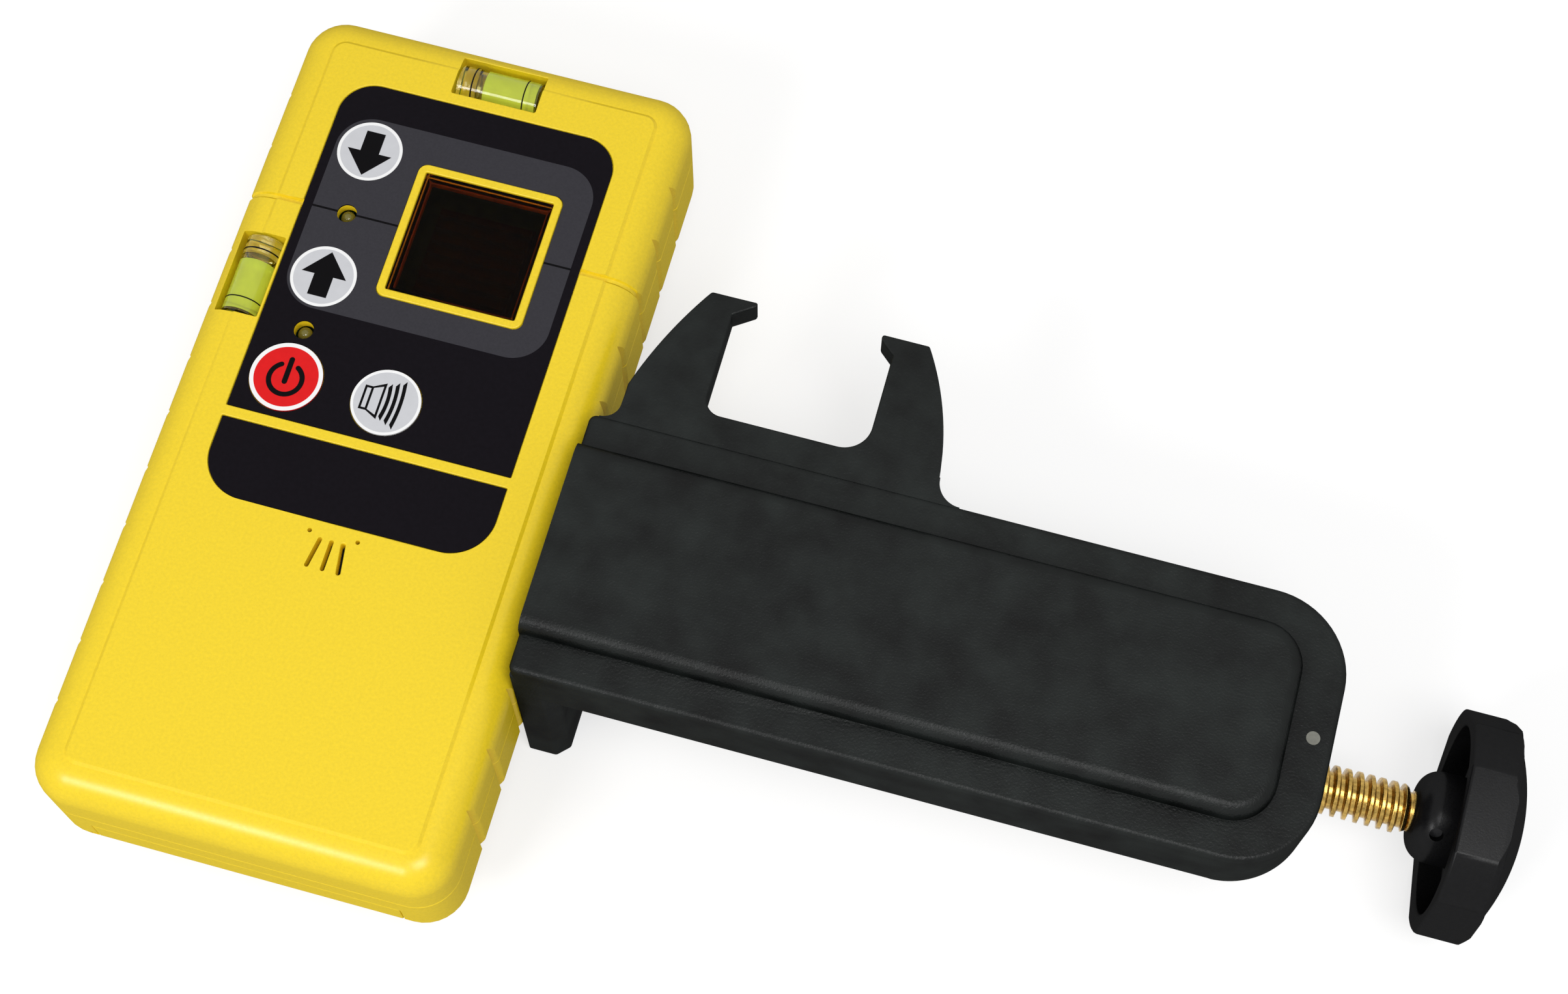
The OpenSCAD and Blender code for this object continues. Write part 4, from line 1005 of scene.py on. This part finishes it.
class RECEIVER_OT_dress_buttons(ReceiverOperator, bpy.types.Operator):
    """Rounds both buttons and prints their rings and signs"""

    bl_idname = "receiver.dress_buttons"
    bl_label = "Dress buttons"

    def power_sign(self, size, spot):
        """Bar over an open loop."""
        half = size.bar / 2
        bar = (arc((spot.x, spot.y + size.bar_top), half, 0, math.pi)
               + arc((spot.x, spot.y + size.bar_low), half, math.pi, 2 * math.pi))
        hub = (spot.x, spot.y - size.loop_drop)
        first = math.pi / 2 + size.loop_gap
        last = math.pi / 2 - size.loop_gap + 2 * math.pi
        reach = size.loop_line / 2
        start, end = (polar(hub, size.loop, angle) for angle in (first, last))
        loop = (arc(hub, size.loop + reach, first, last, LOOP_STEPS)
                + arc(end, reach, last, last + math.pi)
                + arc(hub, size.loop - reach, last, first, LOOP_STEPS)
                + arc(start, reach, first + math.pi, first + 2 * math.pi))
        return [bar, loop]

    def sound_sign(self, size, spot):
        """Outlined speaker with bowed waves."""
        half = size.line / 2
        inner = size.cell - size.line
        loops = [
            mirrored([(size.back, size.cell), (size.waist, size.cell), (size.mouth, size.cone)]),
            mirrored([(size.back + size.line, inner), (size.waist - half, inner)]),
            mirrored([(size.waist + half, size.cell - size.waist_drop),
                      (size.mouth - size.line, size.cone - size.mouth_drop)]),
        ]
        for i in range(SOUND_WAVES):
            far = size.wave + i * size.wave_step
            near = far - size.wave_width
            reach = size.wave_reach + i * size.wave_growth
            cut = reach - size.wave_trim
            loops.append(bow((far - size.outer_top, reach), (far, 0), (far - size.outer_low, -reach))
                         + bow((near - size.inner_low, -cut), (near, 0), (near - size.inner_top, cut)))
        return [[(spot.x + x, spot.y + y) for x, y in loop] for loop in loops]

    def execute(self, context):
        size = context.scene.receiver_prints
        cap = context.scene.receiver_edges.cap
        dress("power_button", "power_button", "button_red", "power_red", cap)
        dress("sound_button", "sound_button", "button_grey", "disc_grey", cap)
        put_ring("power_button", size.power_ring, size.ink, "power_button")
        put_ring("sound_button", size.sound_ring, size.ink, "sound_button")
        signs = {
            "power_button": self.power_sign(size, middle("power_button")),
            "sound_button": self.sound_sign(context.scene.receiver_speaker, middle("sound_button")),
        }
        for node, loops in signs.items():
            put_print(node + "_sign", loops, level(node), size.ink, node, "print_black")
        return {"FINISHED"}


class RECEIVER_OT_fill_vials(ReceiverOperator, bpy.types.Operator):
    """Makes the clear ends, the liquid with its bubble and the rings of both level vials"""

    bl_idname = "receiver.fill_vials"
    bl_label = "Fill vials"

    def hollow_face(self, start, radius, dish):
        """Profile of the liquid's hollow face, from its axis to its rim."""
        shares = [i / DISH_STEPS for i in range(DISH_STEPS + 1)]
        return [(start + dish * (1 - share ** 2), radius * share) for share in shares]

    def execute(self, context):
        size = context.scene.receiver_vials
        bevel = size.rounding
        tree, names = ring_tree()
        for node, turn in (("top_vial", 0), ("side_vial", -math.pi / 2)):
            extent = span(node)
            half = (extent.y if turn else extent.x) / 2
            radius = extent.z / 2
            bore = radius - size.wall
            inner = -half + size.cap
            rim = inner + size.bubble
            far = half - size.wall
            place = Matrix.Translation(middle(node)) @ Matrix.Rotation(turn, 4, "Z")
            ends = lathe(node + "_ends", [
                (-half, 0), (-half, radius - bevel), (-half + bevel, radius), (rim - VIAL_GAP, radius),
                (rim - VIAL_GAP, bore), (inner + bevel, bore), (inner, bore - bevel), (inner, 0)], place)
            disc = lathe(node + "_disc", [
                (far + VIAL_GAP, 0), (far + VIAL_GAP, radius), (half - bevel, radius), (half, radius - bevel),
                (half, 0)], place)
            face = self.hollow_face(rim, radius, size.dish)
            rod = lathe(node + "_liquid_rod", [*face, (far, radius), (far, 0)], place)
            rings = grown(node + "_rings", tree, names, {
                "First": size.ring_shift - size.ring_span / 2, "Step": size.ring_span,
                "Radius": radius - size.ring_wire * RING_SINK_SHARE, "Wire": size.ring_wire,
                "Count": VIAL_RINGS, "Finish": look("print_black"),
            })
            rings.data.transform(place)
            hand_over(ends, "receiver", "vial_clear", "vial_clear", node)
            hand_over(disc, "receiver", "vial_clear", "vial_clear", node)
            hand_over(rod, "receiver", "vial_liquid", "vial_green", node + "_liquid")
            hand_over(rings, "receiver", "label_print", "print_black")
        return {"FINISHED"}


class RECEIVER_OT_dress_clamp(ReceiverOperator, bpy.types.Operator):
    """Rounds the moulded edges of the clamp's arm and jaw"""

    bl_idname = "receiver.dress_clamp"
    bl_label = "Dress clamp"

    def execute(self, context):
        edges = context.scene.receiver_edges
        radius = edges.arm_round
        low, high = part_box("bracket_arm")
        axis = middle("clamp_screw").y

        def wanted(edge):
            """Full rounding on outer edges and a small one in inner corners."""
            return edges.clamp if edge.is_convex else edges.crease

        def round_end(shape):
            """Smoother corners at the arm's end."""
            for side in (-1, 1):
                hub = Vector((high.x - radius, axis + side * (axis - low.y - radius)))
                round_corner(shape, hub, radius, side)

        for node, body, change in (("bracket_arm", "receiver", round_end), ("sliding_jaw", "jaw", None)):
            dress(node, body, "clamp_black", "clamp_black", edges.clamp, wanted, change)
        return {"FINISHED"}


class RECEIVER_OT_cut_thread(ReceiverOperator, bpy.types.Operator):
    """Cuts the thread of the clamp screw and turns its journal and shank"""

    bl_idname = "receiver.cut_thread"
    bl_label = "Cut thread"

    def thread(self, size, start, end):
        """Thread between the jaw and the knob."""
        axis = middle("clamp_screw")
        crest = span("clamp_screw").z / 2
        length = end - start
        tree, names = thread_tree()
        thread = grown("clamp_screw_thread", tree, names, {
            "Start": start, "Length": length, "Pitch": size.pitch, "Phase": size.phase, "Crest": crest,
            "Root": crest - size.depth, "Axis Y": axis.y, "Axis Z": axis.z, "Around": size.around + 1,
            "Along": round(length / size.pitch * size.per_turn) + 1, "Finish": look("brass"),
        })
        shape = bmesh.new()
        shape.from_mesh(thread.data)
        bmesh.ops.recalc_face_normals(shape, faces=shape.faces)
        shape.to_mesh(thread.data)
        shape.free()
        return thread

    def execute(self, context):
        size = context.scene.receiver_screw
        low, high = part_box("clamp_screw")
        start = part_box("sliding_jaw")[1].x + THREAD_LEAD
        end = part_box("knob")[0].x
        axis = middle("clamp_screw")
        place = Matrix.Translation((0, axis.y, axis.z))
        thread = self.thread(size, start, end)
        journal = size.journal / 2
        neck = journal - size.neck
        ring_low, ring_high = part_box("jaw_retainer")
        neck_start = ring_low.x - NECK_SLACK
        neck_end = ring_high.x + NECK_SLACK
        journal_end = start + JOURNAL_LAP
        tip = lathe("clamp_screw_journal", [
            (low.x, 0), (low.x, journal - size.chamfer), (low.x + size.chamfer, journal),
            (neck_start, journal), (neck_start, neck), (neck_end, neck), (neck_end, journal),
            (journal_end, journal), (journal_end, 0)], place)
        shank = size.shank / 2
        shank_start = end - SHANK_LAP
        back = lathe("clamp_screw_shank", [
            (shank_start, 0), (shank_start, shank), (high.x, shank), (high.x, 0)], place)
        for piece in (thread, tip, back):
            hand_over(piece, "screw", "brass", "brass", "clamp_screw")
        return {"FINISHED"}


class RECEIVER_OT_dress_knob(ReceiverOperator, bpy.types.Operator):
    """Turns the knob's rim to its place and rounds the knob's edges"""

    bl_idname = "receiver.dress_knob"
    bl_label = "Dress knob"

    def execute(self, context):
        size = context.scene.receiver_knob
        axis = middle("clamp_screw").yz
        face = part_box("knob")[1].x - size.dome
        turn = Matrix.Rotation(size.turn, 2)

        def turned(shape):
            """Turns the rim about the axis and leaves the hub."""
            for vert in shape.verts:
                if vert.co.x > face or (vert.co.yz - axis).length > size.hub / 2 + NEAR:
                    vert.co.yz = axis + turn @ (vert.co.yz - axis)

        dress("knob", "screw", "knob_black", "knob_black", context.scene.receiver_edges.knob, change=turned)
        return {"FINISHED"}


class RECEIVER_OT_paint_kept(ReceiverOperator, bpy.types.Operator):
    """Gives the solids that are shown as they are their materials"""

    bl_idname = "receiver.paint_kept"
    bl_label = "Paint kept solids"

    def execute(self, context):
        for name, nodes in KEPT_SOLIDS.items():
            for node in nodes:
                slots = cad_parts[node].data.materials
                slots.clear()
                slots.append(look(name))
        return {"FINISHED"}


def pale_rays(tree):
    """One for camera, glossy and transmission rays, and zero for others."""
    path = add_node(tree, "ShaderNodeLightPath").outputs
    seen = sums(tree, "MAXIMUM", path["Is Camera Ray"], path["Is Glossy Ray"])
    return sums(tree, "MAXIMUM", seen, path["Is Transmission Ray"])


class RECEIVER_OT_set_stage(ReceiverOperator, bpy.types.Operator):
    """Sets the floor, the light and the camera"""

    bl_idname = "receiver.set_stage"
    bl_label = "Set stage"

    def floor(self, stage):
        """White floor that keeps the object's shadow."""
        half = stage.floor_size / 2
        z = CAD_BOX[0].z - stage.floor_gap
        corners = [(-half, -half, z), (half, -half, z), (half, half, z), (-half, half, z)]
        mesh = bpy.data.meshes.new("floor")
        mesh.from_pydata(corners, [], [(0, 1, 2, 3)])
        material = bpy.data.materials.new("floor_white")
        material.use_nodes = True
        tree = material.node_tree
        tree.nodes.clear()
        body = add_node(tree, "ShaderNodeBsdfDiffuse", {"Color": (*[stage.floor_tone] * 3, 1)})
        strength = sums(tree, "MULTIPLY", pale_rays(tree), stage.floor_glow)
        glow = add_node(tree, "ShaderNodeEmission", {"Color": (1, 1, 1, 1), "Strength": strength})
        both = add_node(tree, "ShaderNodeAddShader", {0: body.outputs[0], 1: glow.outputs[0]})
        add_node(tree, "ShaderNodeOutputMaterial", {"Surface": both.outputs[0]})
        mesh.materials.append(material)
        link("floor", mesh)

    def sky(self, stage):
        """Even light from all around, seen as white."""
        world = bpy.data.worlds.new("studio")
        bpy.context.scene.world = world
        world.use_nodes = True
        tree = world.node_tree
        ground = tree.nodes["Background"]
        rest = sums(tree, "MULTIPLY", pale_rays(tree), 1 - stage.fill)
        feed(tree, ground.inputs["Color"], (1, 1, 1, 1))
        feed(tree, ground.inputs["Strength"], sums(tree, "ADD", rest, stage.fill))

    def lamp(self, name, size, power, place):
        """Square lamp that is turned to the object."""
        lamp = bpy.data.lights.new(name, "AREA")
        lamp.shape = "SQUARE"
        lamp.size = size
        lamp.energy = power
        holder = link(name, lamp)
        holder.location = place
        target = (CAD_BOX[0] + CAD_BOX[1]) / 2
        holder.rotation_euler = (target - holder.location).to_track_quat("-Z", "Y").to_euler()

    def camera(self, stage):
        """Camera at the photograph's angle."""
        lens = bpy.data.cameras.new("camera")
        lens.lens = stage.camera_lens
        lens.sensor_width = stage.sensor
        lens.sensor_fit = "HORIZONTAL"
        lens.clip_start = CAMERA_NEAR
        lens.clip_end = CAMERA_FAR
        holder = link("camera", lens)
        holder.location = stage.camera_place
        holder.rotation_euler = stage.camera_turn
        bpy.context.scene.camera = holder

    def execute(self, context):
        stage = context.scene.receiver_stage
        context.scene.view_settings.view_transform = "Standard"
        self.floor(stage)
        self.sky(stage)
        self.lamp("key_lamp", stage.key_size, stage.key_power, stage.key_place)
        self.lamp("front_lamp", stage.front_size, stage.front_power, stage.front_place)
        self.camera(stage)
        return {"FINISHED"}


STEPS = (
    RECEIVER_OT_set_stage,
    RECEIVER_OT_mix_finishes,
    RECEIVER_OT_dress_case,
    RECEIVER_OT_seat_gasket,
    RECEIVER_OT_print_field,
    RECEIVER_OT_print_arrows,
    RECEIVER_OT_dress_buttons,
    RECEIVER_OT_fill_vials,
    RECEIVER_OT_dress_clamp,
    RECEIVER_OT_cut_thread,
    RECEIVER_OT_dress_knob,
    RECEIVER_OT_paint_kept,
)


class RECEIVER_PT_steps(bpy.types.Panel):
    """Lists the steps that dress the receiver"""

    bl_idname = "RECEIVER_PT_steps"
    bl_label = "Laser receiver"
    bl_space_type = "VIEW_3D"
    bl_region_type = "UI"
    bl_category = "Receiver"

    def draw(self, context):
        for step in STEPS:
            self.layout.operator(step.bl_idname)


def register():
    """Registers the values, the operators and the panel."""
    for group in GROUPS.values():
        bpy.utils.register_class(group)
    for name, group in GROUPS.items():
        setattr(bpy.types.Scene, name, bpy.props.PointerProperty(type=group))
    for shown in (*STEPS, RECEIVER_PT_steps):
        bpy.utils.register_class(shown)


def unregister():
    """Takes back what register added."""
    for shown in (RECEIVER_PT_steps, *reversed(STEPS)):
        bpy.utils.unregister_class(shown)
    for name in GROUPS:
        delattr(bpy.types.Scene, name)
    for group in reversed(GROUPS.values()):
        bpy.utils.unregister_class(group)


def main():
    """Dresses the receiver step by step."""
    register()
    for step in STEPS:
        area, name = step.bl_idname.split(".")
        getattr(getattr(bpy.ops, area), name)()


if __name__ == "__main__":
    main()
